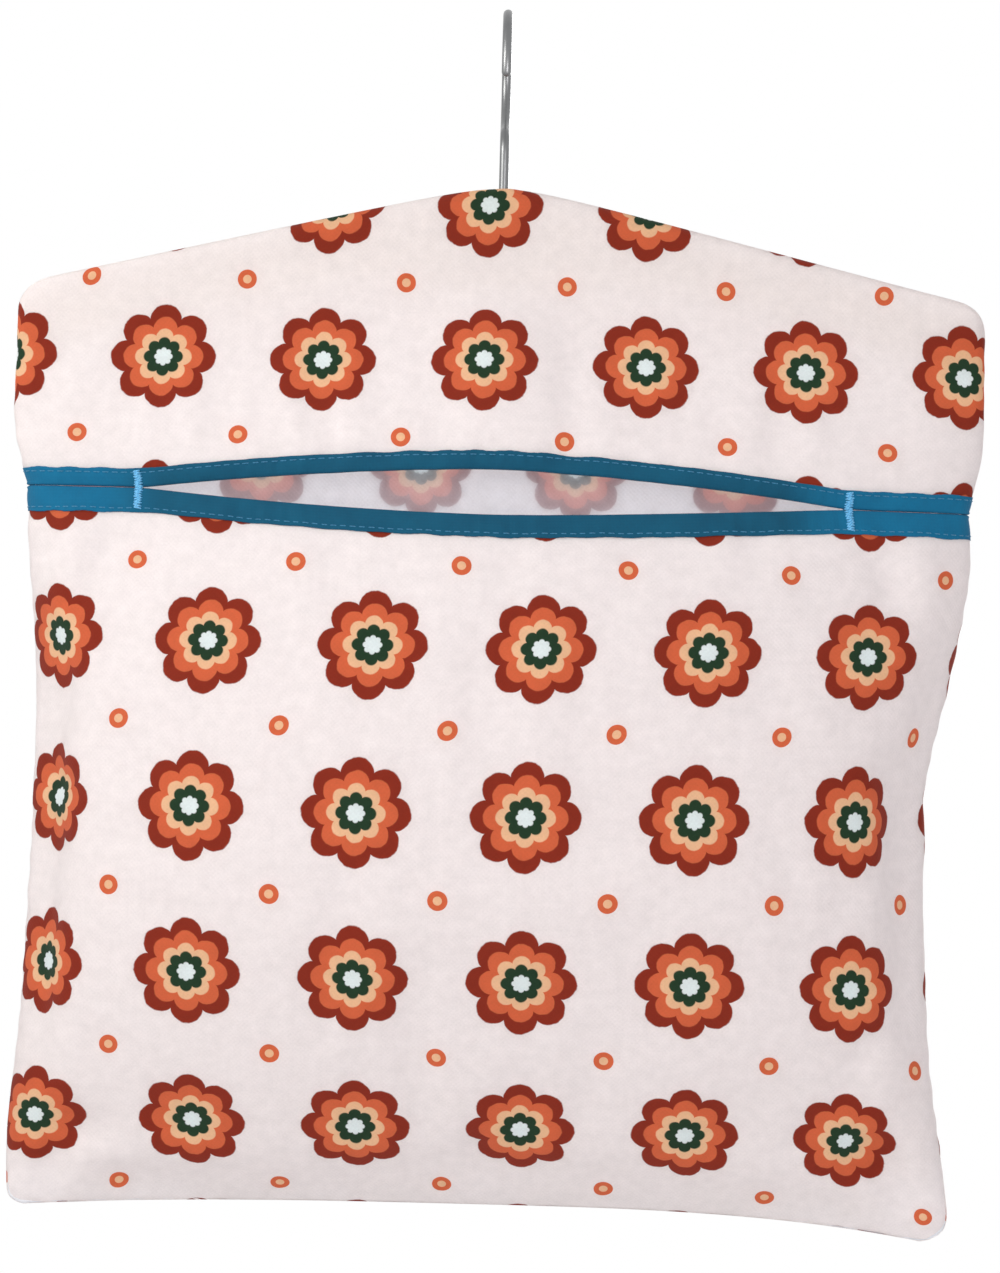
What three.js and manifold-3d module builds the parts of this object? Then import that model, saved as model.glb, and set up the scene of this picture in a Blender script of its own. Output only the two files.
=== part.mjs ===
// A hanging clothes-peg bag. A cotton bag is sewn round a wooden hanger, a slit across its front is bound with
// folded tape and is the mouth, and a wire hook swivels in the hanger.
// Millimetres, +Z up, the front faces -Y. The origin is inside the crown of the hook, where the line or rail lies.
import * as THREE from "three";
import { mergeVertices } from "three/addons/utils/BufferGeometryUtils.js";
import Module from "manifold-3d";

const wasm = await Module();
wasm.setup();

// Clearances
const FIT = 0.3; // between pieces that lie against each other
const SWIVEL_CLEARANCE = 0.25; // round the shank, in the wood and in the washer

// Wire hook, with a riveted head that carries the hanger on a washer
const WIRE_DIAMETER = 3;
const HOOK_INNER_DIAMETER = 33;
const HOOK_NECK_RADIUS = 8; // bend from the shank into the bow
const HOOK_TIP_ANGLE = 190; // where the bow ends, in degrees from the back over the crown
const HOOK_HEIGHT = 56; // from the peak of the cloth to the top of the wire
const HEAD_DIAMETER = 6.4;
const HEAD_HEIGHT = 2;
const WASHER_DIAMETER = 10;
const WASHER_THICKNESS = 1;

// Wooden hanger
const HANGER_SPAN = 297;
const HANGER_THICKNESS = 12;
const HANGER_ARM_DEPTH = 20;
const HANGER_NECK_DEPTH = 32; // the wood is deepest under the hook
const HANGER_NECK_WIDTH = 90; // the stretch that swells to that depth
const HANGER_EDGE_ROUND = 3;
const SHOULDER_SLOPE = 13.7; // degrees below level
const PEAK_ROUND = 12; // softens the ridge of the shoulders under the hook

// Sewn cotton bag
const CLOTH_THICKNESS = 0.8;
const CLOTH_EASE = 1; // looseness of the cloth on the hanger
const BAG_HEIGHT = 317; // from the peak to the middle of the hem
const WAIST_WIDTH = 278; // the filled bag draws its sides in
const WAIST_DROP = 202; // from the peak
const HEM_WIDTH = 292;
const HEM_CORNER_DROP = 6; // the corners hang below the middle of the hem
const SHOULDER_RADIUS = 11;
const HEM_RADIUS = 8;
const RIDGE_ROLL = 5; // height in which the cloth rolls over the top of the hanger
const FRONT_BULGE = 44;
const BACK_BULGE = 26;
const FULLEST_SHARE = 0.6; // of the way down, where the bulge is greatest
const HEM_TAPER = 0.9; // below that: 0.5 is as round as an ellipse, 1 closes on the hem like a wedge
const SLAB_POWER = 16; // squareness of the section on the hanger
const OVAL_POWER = 2.2; // and of the section lower down
const OVAL_SHARE = 0.45; // of the way down, where that section is reached
const NECK_HOLE_DIAMETER = 8; // gap in the ridge seam for the hook

// Mouth: two bound edges, tacked together at both ends
const MOUTH_DROP = 97; // from the peak
const TACK_INSET = 37; // from the side of the bag to the end of the mouth
const MOUTH_GAPE = 13;
const LIP_GAP = 1; // between the bindings outside the tacks
const BINDING_WIDTH = 7;
const BINDING_THICKNESS = 0.6;
const BINDING_GAP = 0.5; // between the tape and the cloth that it folds over
const TACK_WIDTH = 2.6;
const TACK_HEIGHT = 13;
const TACK_THICKNESS = 0.7;
const TACK_WEB = 0.4; // thread that passes between the bindings

// Seam allowances, oversewn, inside the bag
const SEAM_WIDTH = 7;
const SEAM_THICKNESS = 1.2;

// Fineness of the curved surfaces
const CLOTH_COLUMNS = 24;
const ROLL_STEPS = 4;
const HEM_STEPS = 5;
const WIRE_SIDES = 12;
const WIRE_STEPS = 50;
const HOLE_SIDES = 24;
const SEAM_STEPS = 14;

// Places worked out from the driving dimensions
const wireRadius = WIRE_DIAMETER / 2;
const peakZ = WIRE_DIAMETER - HOOK_HEIGHT;
const hemMiddleZ = peakZ - BAG_HEIGHT;
const waistZ = peakZ - WAIST_DROP;
const mouthZ = peakZ - MOUTH_DROP;
const shoulderHalf = HANGER_SPAN / 2 + CLOTH_EASE + CLOTH_THICKNESS;
const ridgeHalf = shoulderHalf - SHOULDER_RADIUS; // the ridge ends where the corners turn down
const hangerHalfDepth = HANGER_THICKNESS / 2 + CLOTH_EASE + CLOTH_THICKNESS;
const slopeRise = Math.tan(THREE.MathUtils.degToRad(SHOULDER_SLOPE));
const shoulderZ = peakZ - shoulderHalf * slopeRise;
const seamTopDrop = CLOTH_THICKNESS + 2 * FIT; // ridge seam below the outside of the cloth
const hangerPeakZ = peakZ - seamTopDrop - SEAM_THICKNESS - FIT;
const hangerNeckZ = hangerPeakZ - HANGER_NECK_DEPTH;
const counterboreDepth = WASHER_THICKNESS + HEAD_HEIGHT + 2 * FIT;
const washerTopZ = hangerNeckZ + counterboreDepth - FIT;
const headTopZ = washerTopZ - WASHER_THICKNESS - FIT;
const foldDepth = BINDING_GAP + BINDING_THICKNESS; // from the raw edge to the nose of its binding

const materials = {
  cotton: new THREE.MeshStandardMaterial({ color: 0xf0e3e3, roughness: 0.92 }),
  tape: new THREE.MeshStandardMaterial({ color: 0x0e6f91, roughness: 0.85 }),
  tackThread: new THREE.MeshStandardMaterial({ color: 0x6fb4d8, roughness: 0.7 }),
  seamThread: new THREE.MeshStandardMaterial({ color: 0xf3ece6, roughness: 0.9 }),
  wood: new THREE.MeshStandardMaterial({ color: 0xd8b88a, roughness: 0.6 }),
  steel: new THREE.MeshStandardMaterial({ color: 0xb4b6b8, roughness: 0.25, metalness: 1 }),
};

// Solids: joining, cutting and closing

function toSolid(geometry) {
  const bare = geometry.clone();
  bare.deleteAttribute("normal");
  bare.deleteAttribute("uv");
  const merged = mergeVertices(bare, 1e-4);
  const vertProperties = new Float32Array(merged.getAttribute("position").array);
  const triVerts = new Uint32Array(merged.index.array);
  return new wasm.Manifold(new wasm.Mesh({ numProp: 3, vertProperties, triVerts }));
}

function toGeometry(solid) {
  const mesh = solid.getMesh();
  const geometry = new THREE.BufferGeometry();
  geometry.setAttribute("position", new THREE.BufferAttribute(mesh.vertProperties, 3));
  geometry.setIndex(new THREE.BufferAttribute(mesh.triVerts, 1));
  return geometry;
}

function cut(geometry, ...tools) {
  return toGeometry(tools.reduce((solid, tool) => solid.subtract(toSolid(tool)), toSolid(geometry)));
}

function join(geometry, ...others) {
  return toGeometry(others.reduce((solid, other) => solid.add(toSolid(other)), toSolid(geometry)));
}

// An upright cylinder on the swivel axis, between two heights.
function axisCylinder(radius, lowZ, highZ) {
  const height = highZ - lowZ;
  return new THREE.CylinderGeometry(radius, radius, height, HOLE_SIDES)
    .rotateX(Math.PI / 2)
    .translate(0, 0, lowZ + height / 2);
}

// A closed geometry from points and triangles, with its faces turned outward.
function closedGeometry(points, triangles) {
  const volume = triangles.reduce((sum, [a, b, c]) => {
    return sum + points[a].dot(new THREE.Vector3().crossVectors(points[b], points[c]));
  }, 0);
  const faces = volume < 0 ? triangles.map(([a, b, c]) => [a, c, b]) : triangles;
  return new THREE.BufferGeometry().setFromPoints(points).setIndex(faces.flat());
}

// A bar with one section all along, given as a ring of points at each station, closed by flat ends.
function loft(rings, endFaces) {
  const count = rings[0].length;
  const triangles = [];
  for (let i = 0; i + 1 < rings.length; i++) {
    for (let j = 0; j < count; j++) {
      const a = i * count + j;
      const b = i * count + ((j + 1) % count);
      triangles.push([a, b, b + count], [a, b + count, a + count]);
    }
  }
  const last = (rings.length - 1) * count;
  for (const [a, b, c] of endFaces) {
    triangles.push([a, c, b], [last + a, last + b, last + c]);
  }
  return closedGeometry(rings.flat(), triangles);
}

// A flat strip in the XZ plane between an outer and an inner edge, with its thickness centred on y = 0.
function flatStrip(outerEdge, innerEdge, thickness) {
  const shape = new THREE.Shape([...outerEdge, ...innerEdge.reverse()]);
  return new THREE.ExtrudeGeometry(shape, { depth: thickness, bevelEnabled: false })
    .rotateX(Math.PI / 2)
    .translate(0, thickness / 2, 0);
}

const evenly = (count) => Array.from({ length: count + 1 }, (_, i) => i / count);
const smooth = (t) => t * t * (3 - 2 * t);

// The outside of the cloth

// How far the line of the shoulders has fallen at a distance from the middle.
function roofDrop(x) {
  return slopeRise * (Math.hypot(x, PEAK_ROUND) - PEAK_ROUND);
}

const roofZ = (across) => peakZ - roofDrop(across * ridgeHalf);
const hemZ = (across) => hemMiddleZ - HEM_CORNER_DROP * Math.abs(across) ** 3;
const heightAt = (across, share) => THREE.MathUtils.lerp(roofZ(across), hemZ(across), share);

function halfWidth(z) {
  if (z > waistZ) {
    const t = THREE.MathUtils.clamp((shoulderZ - z) / (shoulderZ - waistZ), 0, 1);
    return THREE.MathUtils.lerp(shoulderHalf, WAIST_WIDTH / 2, smooth(t));
  }
  const t = THREE.MathUtils.clamp((waistZ - z) / (waistZ - hemMiddleZ), 0, 1);
  return THREE.MathUtils.lerp(WAIST_WIDTH / 2, HEM_WIDTH / 2, smooth(t));
}

// How far a rounded corner takes the outline in, at a distance from the edge that it turns into.
function cornerInset(distance, radius) {
  const short = Math.max(0, radius - Math.max(0, distance));
  return radius - Math.sqrt(radius * radius - short * short);
}

// Depth of the bag in front of or behind the seam plane, on its middle line.
function bulge(side, share) {
  const most = side < 0 ? FRONT_BULGE : BACK_BULGE;
  if (share < FULLEST_SHARE) {
    const rise = Math.sin(((Math.PI / 2) * share) / FULLEST_SHARE) ** 2;
    return THREE.MathUtils.lerp(hangerHalfDepth, most, rise);
  }
  const past = Math.min(1, (share - FULLEST_SHARE) / (1 - FULLEST_SHARE));
  return most * (1 - past * past) ** HEM_TAPER;
}

// Share of the full depth that the bag has at a place across; a higher power is squarer.
const sectionShare = (across, power) => (1 - Math.min(1, Math.abs(across)) ** power) ** (1 / power);

// A point on the outside of the cloth. side is -1 in front and 1 behind; across runs from -1 at the left side
// seam to 1 at the right one. The section is flat on the hanger and turns into an oval lower down.
function clothPoint(side, across, z) {
  const drop = Math.max(0, roofZ(across) - z);
  const share = drop / (roofZ(across) - hemZ(across));
  const half = halfWidth(z) - cornerInset(drop, SHOULDER_RADIUS) - cornerInset(z - hemZ(across), HEM_RADIUS);
  const turned = smooth(Math.min(1, share / OVAL_SHARE));
  const slab = sectionShare(across, SLAB_POWER);
  const section = THREE.MathUtils.lerp(slab, sectionShare(across, OVAL_POWER), turned);
  const roll = (1 - Math.max(0, 1 - drop / RIDGE_ROLL) ** 4) ** (1 / 4);
  return new THREE.Vector3(across * half, side * (FIT / 2 + bulge(side, share) * section * roll), z);
}

const mouthHalfLength = halfWidth(mouthZ) - TACK_INSET;

// Cloth panels: each is a grid of points on the outside, thickened inward

const columns = evenly(CLOTH_COLUMNS).map((t) => Math.sin((t - 0.5) * Math.PI));

// Half the open width of the mouth, measured from its level line to the nose of either binding.
function lipOffset(across) {
  const q = (across * halfWidth(mouthZ)) / mouthHalfLength;
  return LIP_GAP / 2 + (MOUTH_GAPE / 2) * Math.max(0, 1 - q * q);
}

// Rows of a panel are heights that depend on the place across.
const yokeEdge = (across) => mouthZ + lipOffset(across) + foldDepth;
const yokeTape = (across) => yokeEdge(across) + BINDING_WIDTH;
const pocketEdge = (across) => mouthZ - lipOffset(across) - foldDepth;
const pocketTape = (across) => pocketEdge(across) - BINDING_WIDTH;
const ridgeRows = evenly(ROLL_STEPS).map((t) => {
  const fall = RIDGE_ROLL * (1 - Math.sqrt(Math.max(0, Math.cos((t * Math.PI) / 2))));
  return (across) => roofZ(across) - fall;
});
const cornerRow = (across) => roofZ(across) - SHOULDER_RADIUS;
const hemRows = evenly(HEM_STEPS).map((t) => {
  const share = FULLEST_SHARE + (1 - FULLEST_SHARE) * Math.sin((t * Math.PI) / 2);
  return (across) => heightAt(across, share);
});

function rowsBetween(upper, lower, count) {
  const inner = evenly(count).slice(1, -1);
  return inner.map((t) => (across) => THREE.MathUtils.lerp(upper(across), lower(across), t));
}

function clothPanel(side, rows, { ridge = false, hem = false }) {
  const grid = rows.map((row) => columns.map((across) => clothPoint(side, across, row(across))));
  const lastRow = rows.length - 1;
  const lastColumn = columns.length - 1;
  const inward = (i, j) => {
    const alongRow = grid[i][Math.min(j + 1, lastColumn)].clone().sub(grid[i][Math.max(j - 1, 0)]);
    const alongColumn = grid[Math.min(i + 1, lastRow)][j].clone().sub(grid[Math.max(i - 1, 0)][j]);
    const direction = new THREE.Vector3();
    if (ridge && i === 0) direction.set(alongRow.z, 0, -alongRow.x);
    else if (hem && i === lastRow) direction.set(-alongRow.z, 0, alongRow.x);
    else if (j === 0) direction.set(-alongColumn.z, 0, alongColumn.x);
    else if (j === lastColumn) direction.set(alongColumn.z, 0, -alongColumn.x);
    else direction.crossVectors(alongRow, alongColumn).multiplyScalar(-side);
    return direction.normalize();
  };
  const inside = grid.map((line, i) => {
    return line.map((p, j) => p.clone().addScaledVector(inward(i, j), CLOTH_THICKNESS));
  });
  const across = columns.length;
  const layer = grid.length * across;
  const triangles = [];
  const quad = (a, b, c, d) => triangles.push([a, b, c], [a, c, d]);
  for (let i = 0; i < lastRow; i++) {
    for (let j = 0; j < lastColumn; j++) {
      const a = i * across + j;
      quad(a, a + 1, a + 1 + across, a + across);
      quad(layer + a, layer + a + across, layer + a + 1 + across, layer + a + 1);
    }
  }
  const rim = [];
  for (let j = 0; j < lastColumn; j++) rim.push(j);
  for (let i = 0; i < lastRow; i++) rim.push(i * across + lastColumn);
  for (let j = lastColumn; j > 0; j--) rim.push(lastRow * across + j);
  for (let i = lastRow; i > 0; i--) rim.push(i * across);
  rim.forEach((a, k) => {
    const b = rim[(k + 1) % rim.length];
    quad(a, layer + a, layer + b, b);
  });
  return closedGeometry([...grid.flat(), ...inside.flat()], triangles);
}

const neckHole = () => axisCylinder(NECK_HOLE_DIAMETER / 2, hangerPeakZ, peakZ + CLOTH_THICKNESS);

function frontYoke() {
  const rows = [...ridgeRows, cornerRow, ...rowsBetween(cornerRow, yokeTape, 6), yokeTape, yokeEdge];
  return cut(clothPanel(-1, rows, { ridge: true }), neckHole());
}

function frontPocket() {
  const rows = [pocketEdge, pocketTape, ...rowsBetween(pocketTape, hemRows[0], 7), ...hemRows];
  return clothPanel(-1, rows, { hem: true });
}

function backPanel() {
  const rows = [...ridgeRows, cornerRow, ...rowsBetween(cornerRow, hemRows[0], 12), ...hemRows];
  return cut(clothPanel(1, rows, { ridge: true, hem: true }), neckHole());
}

// Bindings: tape folded over each raw edge, a channel that follows the lip

// Section as [towards the mouth, outward] from the raw edge on the outside of the cloth.
function bindingSection() {
  const front = foldDepth;
  const back = -CLOTH_THICKNESS - foldDepth;
  const far = -BINDING_WIDTH + foldDepth;
  const round = BINDING_THICKNESS;
  return [
    [far, front - BINDING_THICKNESS],
    [BINDING_GAP, front - BINDING_THICKNESS],
    [BINDING_GAP, back + BINDING_THICKNESS],
    [far, back + BINDING_THICKNESS],
    [far, back],
    [foldDepth - round, back],
    [foldDepth, back + round],
    [foldDepth, front - round],
    [foldDepth - round, front],
    [far, front],
  ].map(([toMouth, outward]) => new THREE.Vector2(toMouth, outward));
}

// The tape lies on the strip of cloth between the raw edge and the row that it reaches up or down to.
function binding(edgeRow, tapeRow) {
  const section = bindingSection();
  const endFaces = THREE.ShapeUtils.triangulateShape(section, []);
  const edge = columns.map((across) => clothPoint(-1, across, edgeRow(across)));
  const reach = columns.map((across) => clothPoint(-1, across, tapeRow(across)));
  const rings = [];
  for (let j = 1; j + 1 < columns.length; j++) {
    const right = edge[j + 1].clone().sub(edge[j - 1]);
    const toMouth = edge[j].clone().sub(reach[j]).normalize();
    const outward = new THREE.Vector3().crossVectors(right, toMouth).normalize();
    if (outward.y > 0) outward.negate();
    rings.push(section.map((p) => edge[j].clone().addScaledVector(toMouth, p.x).addScaledVector(outward, p.y)));
  }
  return loft(rings, endFaces);
}

// Bar tack: thread laid over both bindings in front and behind, joined by a web between their noses.
function barTack(sign) {
  const x = sign * (mouthHalfLength + TACK_WIDTH / 2);
  const across = x / halfWidth(mouthZ);
  const level = (k) => clothPoint(-1, across + k * (TACK_WIDTH / HEM_WIDTH), mouthZ);
  const right = level(1).sub(level(-1)).normalize();
  const down = clothPoint(-1, across, mouthZ - TACK_HEIGHT).sub(clothPoint(-1, across, mouthZ + TACK_HEIGHT));
  const outward = new THREE.Vector3().crossVectors(down, right).normalize();
  const frontFace = foldDepth + 2 * FIT;
  const backFace = -CLOTH_THICKNESS - foldDepth - 2 * FIT;
  const shape = new THREE.Shape();
  const halfHeight = TACK_HEIGHT / 2;
  const halfWeb = TACK_WEB / 2;
  const corners = [
    [halfHeight, frontFace + TACK_THICKNESS],
    [halfHeight, frontFace],
    [halfWeb, frontFace],
    [halfWeb, backFace],
    [halfHeight, backFace],
    [halfHeight, backFace - TACK_THICKNESS],
  ];
  const mirrored = corners.map(([v, n]) => [-v, n]).reverse();
  shape.setFromPoints([...corners, ...mirrored].map(([v, n]) => new THREE.Vector2(v, n)));
  const upright = new THREE.Vector3().crossVectors(outward, right);
  const place = new THREE.Matrix4()
    .makeBasis(upright, outward, right)
    .setPosition(clothPoint(-1, across, mouthZ).addScaledVector(right, -TACK_WIDTH / 2));
  return new THREE.ExtrudeGeometry(shape, { depth: TACK_WIDTH, bevelEnabled: false }).applyMatrix4(place);
}

// Seam allowances: pressed flat on top of the hanger, and turned into the bag at the sides and the hem

function shoulderSeam(sign) {
  const nearX = NECK_HOLE_DIAMETER / 2 + FIT;
  const farX = ridgeHalf;
  const edge = (drop) => {
    return evenly(SEAM_STEPS).map((t) => {
      const x = THREE.MathUtils.lerp(nearX, farX, t);
      return new THREE.Vector2(sign * x, peakZ - roofDrop(x) - drop);
    });
  };
  return flatStrip(edge(seamTopDrop), edge(seamTopDrop + SEAM_THICKNESS), SEAM_WIDTH);
}

// How far above the hem both sides of the bag stand out far enough for an allowance between them.
function hemRoomRise(across) {
  const room = SEAM_THICKNESS / 2 + CLOTH_THICKNESS + 3 * FIT;
  const deepest = Math.min(FRONT_BULGE, BACK_BULGE) * sectionShare(across, OVAL_POWER);
  const past = Math.sqrt(1 - (room / deepest) ** (1 / HEM_TAPER));
  return (1 - past) * (1 - FULLEST_SHARE) * (roofZ(across) - hemZ(across));
}

function sideSeam(sign) {
  const gap = CLOTH_THICKNESS + 2 * FIT;
  const seamAcross = 1 - gap / (HEM_WIDTH / 2);
  const upperZ = shoulderZ - SHOULDER_RADIUS - HANGER_ARM_DEPTH;
  const lowerZ = hemZ(seamAcross) + hemRoomRise(seamAcross);
  const edge = (inset) => {
    return evenly(SEAM_STEPS).map((t) => {
      const z = THREE.MathUtils.lerp(upperZ, lowerZ, t);
      return new THREE.Vector2(sign * (halfWidth(z) - inset), z);
    });
  };
  return flatStrip(edge(gap), edge(gap + SEAM_WIDTH), SEAM_THICKNESS);
}

function hemSeam() {
  const hemHalf = HEM_WIDTH / 2 - HEM_RADIUS;
  const reach = 1 - (2 * SEAM_WIDTH) / hemHalf;
  const edge = (width) => {
    return evenly(2 * SEAM_STEPS).map((t) => {
      const across = (2 * t - 1) * reach;
      return new THREE.Vector2(across * hemHalf, hemZ(across) + hemRoomRise(across) + width);
    });
  };
  return flatStrip(edge(0), edge(SEAM_WIDTH), SEAM_THICKNESS);
}

// Hanger: sawn board with rounded edges, drilled for the shank and counterbored for the washer and head

function hangerBar() {
  const tipRadius = HANGER_ARM_DEPTH / 2;
  const tipX = HANGER_SPAN / 2 - tipRadius;
  const topZ = (x) => hangerPeakZ - roofDrop(x);
  const depth = (x) => {
    const swell = x < HANGER_NECK_WIDTH / 2 ? (1 + Math.cos((2 * Math.PI * x) / HANGER_NECK_WIDTH)) / 2 : 0;
    return HANGER_ARM_DEPTH + (HANGER_NECK_DEPTH - HANGER_ARM_DEPTH) * swell;
  };
  const stations = evenly(10).map((t) => tipX * t * Math.sqrt(t));
  const right = stations.map((x) => new THREE.Vector2(x, topZ(x)));
  const slope = THREE.MathUtils.degToRad(SHOULDER_SLOPE);
  const tip = evenly(8).slice(1, -1).map((t) => {
    const angle = Math.PI / 2 - slope - t * (Math.PI - slope);
    return new THREE.Vector2(tipX + tipRadius * Math.cos(angle), topZ(tipX) - tipRadius * (1 - Math.sin(angle)));
  });
  const under = [...stations].reverse().map((x) => new THREE.Vector2(x, topZ(x) - depth(x)));
  const half = [...right, ...tip, ...under];
  const mirrored = half.slice(1, -1).map((p) => new THREE.Vector2(-p.x, p.y)).reverse();
  const board = new THREE.ExtrudeGeometry(new THREE.Shape([...half, ...mirrored]), {
    depth: HANGER_THICKNESS - 2 * HANGER_EDGE_ROUND,
    bevelThickness: HANGER_EDGE_ROUND,
    bevelSize: HANGER_EDGE_ROUND,
    bevelOffset: -HANGER_EDGE_ROUND,
    bevelSegments: 2,
  })
    .rotateX(Math.PI / 2)
    .translate(0, HANGER_THICKNESS / 2 - HANGER_EDGE_ROUND, 0);
  const bore = axisCylinder(wireRadius + SWIVEL_CLEARANCE, hangerNeckZ - 1, hangerPeakZ + 1);
  const counterbore = axisCylinder(WASHER_DIAMETER / 2 + FIT, hangerNeckZ - 1, hangerNeckZ + counterboreDepth);
  return cut(board, bore, counterbore);
}

// Hook: one wire from its riveted head up the swivel axis, out to the back, over the crown and down in front

class BowArc extends THREE.Curve {
  constructor(centreY, centreZ, radius, fromAngle, toAngle) {
    super();
    Object.assign(this, { centreY, centreZ, radius, fromAngle, toAngle });
  }
  getPoint(t, target = new THREE.Vector3()) {
    const angle = THREE.MathUtils.lerp(this.fromAngle, this.toAngle, t);
    return target.set(
      0,
      this.centreY + this.radius * Math.cos(angle),
      this.centreZ + this.radius * Math.sin(angle),
    );
  }
}

function hookWire() {
  const bowRadius = HOOK_INNER_DIAMETER / 2 + wireRadius;
  const bowZ = -HOOK_INNER_DIAMETER / 2;
  const centresApart = bowRadius + HOOK_NECK_RADIUS;
  const neckZ = bowZ - Math.sqrt(centresApart ** 2 - HOOK_NECK_RADIUS ** 2);
  const turn = Math.acos(HOOK_NECK_RADIUS / centresApart);
  const tipAngle = THREE.MathUtils.degToRad(HOOK_TIP_ANGLE);
  const path = new THREE.CurvePath();
  path.add(new THREE.LineCurve3(new THREE.Vector3(0, 0, headTopZ), new THREE.Vector3(0, 0, neckZ)));
  path.add(new BowArc(HOOK_NECK_RADIUS, neckZ, HOOK_NECK_RADIUS, Math.PI, Math.PI - turn));
  path.add(new BowArc(0, bowZ, bowRadius, -turn, tipAngle));
  const section = new THREE.Shape().absarc(0, 0, wireRadius, 0, 2 * Math.PI);
  const wire = new THREE.ExtrudeGeometry(section, {
    steps: WIRE_STEPS,
    curveSegments: WIRE_SIDES / 2,
    extrudePath: path,
  });
  const tip = new THREE.SphereGeometry(wireRadius, WIRE_SIDES, WIRE_SIDES / 2).translate(
    0,
    bowRadius * Math.cos(tipAngle),
    bowZ + bowRadius * Math.sin(tipAngle),
  );
  const headRadius = HEAD_DIAMETER / 2;
  const headProfile = [
    [0, 0],
    [headRadius * 0.6, 0],
    [headRadius, HEAD_HEIGHT * 0.6],
    [headRadius, HEAD_HEIGHT],
    [0, HEAD_HEIGHT],
  ].map(([r, h]) => new THREE.Vector2(r, h));
  const head = new THREE.LatheGeometry(headProfile, HOLE_SIDES)
    .rotateX(Math.PI / 2)
    .translate(0, 0, headTopZ - HEAD_HEIGHT);
  return join(wire, tip, head);
}

function hookWasher() {
  const inner = wireRadius + SWIVEL_CLEARANCE;
  const outer = WASHER_DIAMETER / 2;
  const profile = [
    [inner, 0],
    [outer, 0],
    [outer, WASHER_THICKNESS],
    [inner, WASHER_THICKNESS],
    [inner, 0],
  ].map(([r, h]) => new THREE.Vector2(r, h));
  return new THREE.LatheGeometry(profile, HOLE_SIDES)
    .rotateX(Math.PI / 2)
    .translate(0, 0, washerTopZ - WASHER_THICKNESS);
}

function piece(name, geometry, material) {
  const mesh = new THREE.Mesh(geometry, material);
  mesh.name = name;
  return mesh;
}

const hook = new THREE.Group();
hook.add(piece("hook", hookWire(), materials.steel));

const hanger = new THREE.Group();
hanger.add(
  piece("hanger_bar", hangerBar(), materials.wood),
  piece("hook_washer", hookWasher(), materials.steel),
);

const bag = new THREE.Group();
bag.add(
  piece("front_yoke", frontYoke(), materials.cotton),
  piece("front_pocket", frontPocket(), materials.cotton),
  piece("back_panel", backPanel(), materials.cotton),
  piece("yoke_binding", binding(yokeEdge, yokeTape), materials.tape),
  piece("pocket_binding", binding(pocketEdge, pocketTape), materials.tape),
  piece("hem_seam", hemSeam(), materials.seamThread),
);
for (const [sideName, sign] of [["left", -1], ["right", 1]]) {
  bag.add(
    piece(`${sideName}_bar_tack`, barTack(sign), materials.tackThread),
    piece(`${sideName}_shoulder_seam`, shoulderSeam(sign), materials.seamThread),
    piece(`${sideName}_side_seam`, sideSeam(sign), materials.seamThread),
  );
}

const pegBag = new THREE.Group();
pegBag.add(hook, hanger, bag);

export default pegBag;
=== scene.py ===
"""Looks of the hanging peg bag: cotton bag, taped mouth, wooden hanger and wire hook.

Sizes are in millimetres, apart from flat sizes and the studio, which are in metres.
"""

import math

import bpy
import numpy as np
from mathutils import Matrix, Vector


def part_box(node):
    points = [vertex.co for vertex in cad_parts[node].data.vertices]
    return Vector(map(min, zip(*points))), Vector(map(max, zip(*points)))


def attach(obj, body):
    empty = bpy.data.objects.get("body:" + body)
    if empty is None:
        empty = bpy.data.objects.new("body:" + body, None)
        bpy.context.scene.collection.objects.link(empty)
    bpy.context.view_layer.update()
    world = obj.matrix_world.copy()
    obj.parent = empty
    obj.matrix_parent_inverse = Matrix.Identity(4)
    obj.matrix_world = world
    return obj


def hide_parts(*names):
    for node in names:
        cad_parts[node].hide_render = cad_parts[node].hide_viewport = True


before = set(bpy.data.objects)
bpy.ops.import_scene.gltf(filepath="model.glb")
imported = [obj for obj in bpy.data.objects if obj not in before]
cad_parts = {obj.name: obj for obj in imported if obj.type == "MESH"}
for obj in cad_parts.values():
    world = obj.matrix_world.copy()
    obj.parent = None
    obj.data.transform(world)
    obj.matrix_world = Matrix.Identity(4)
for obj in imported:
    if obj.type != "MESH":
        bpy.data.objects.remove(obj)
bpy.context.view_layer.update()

MM = 0.001
FRONT = -1
BACK = 1
TINY = 1e-9

# Bag, as in the CAD model, with the uneven corners of the one in the picture
PEAK_Z = -53.0
SLOPE = math.tan(math.radians(13.7))
PEAK_ROUND = 12.0
SHOULDER_HALF = 150.3
SHOULDER_RADIUS = 11.0
RIGHT_SHOULDER_RADIUS = 8.5
RIDGE_HALF = SHOULDER_HALF - SHOULDER_RADIUS
SHOULDER_Z = PEAK_Z - SHOULDER_HALF * SLOPE
WAIST_HALF = 139.0
WAIST_Z = PEAK_Z - 202.0
HEM_HALF = 146.0
HEM_Z = PEAK_Z - 317.0
LEFT_CORNER_DROP = 3.5
RIGHT_CORNER_DROP = 8.0
CORNER_DROP_POWER = 3
LEFT_HEM_RADIUS = 5.0
RIGHT_HEM_RADIUS = 8.0
HANGER_HALF_DEPTH = 7.8
HANGER_ARM_DEPTH = 20.0
FRONT_BULGE = 44.0
BACK_BULGE = 26.0
FULLEST = 0.6
HEM_TAPER = 0.9
SLAB_POWER = 16.0
OVAL_POWER = 2.2
OVAL_SHARE = 0.45
ROLL = 5.0
ROLL_POWER = 4
NECK_GAP = 3.4
NECK_REACH = 2 * ROLL
CLOTH = 0.7

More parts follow.
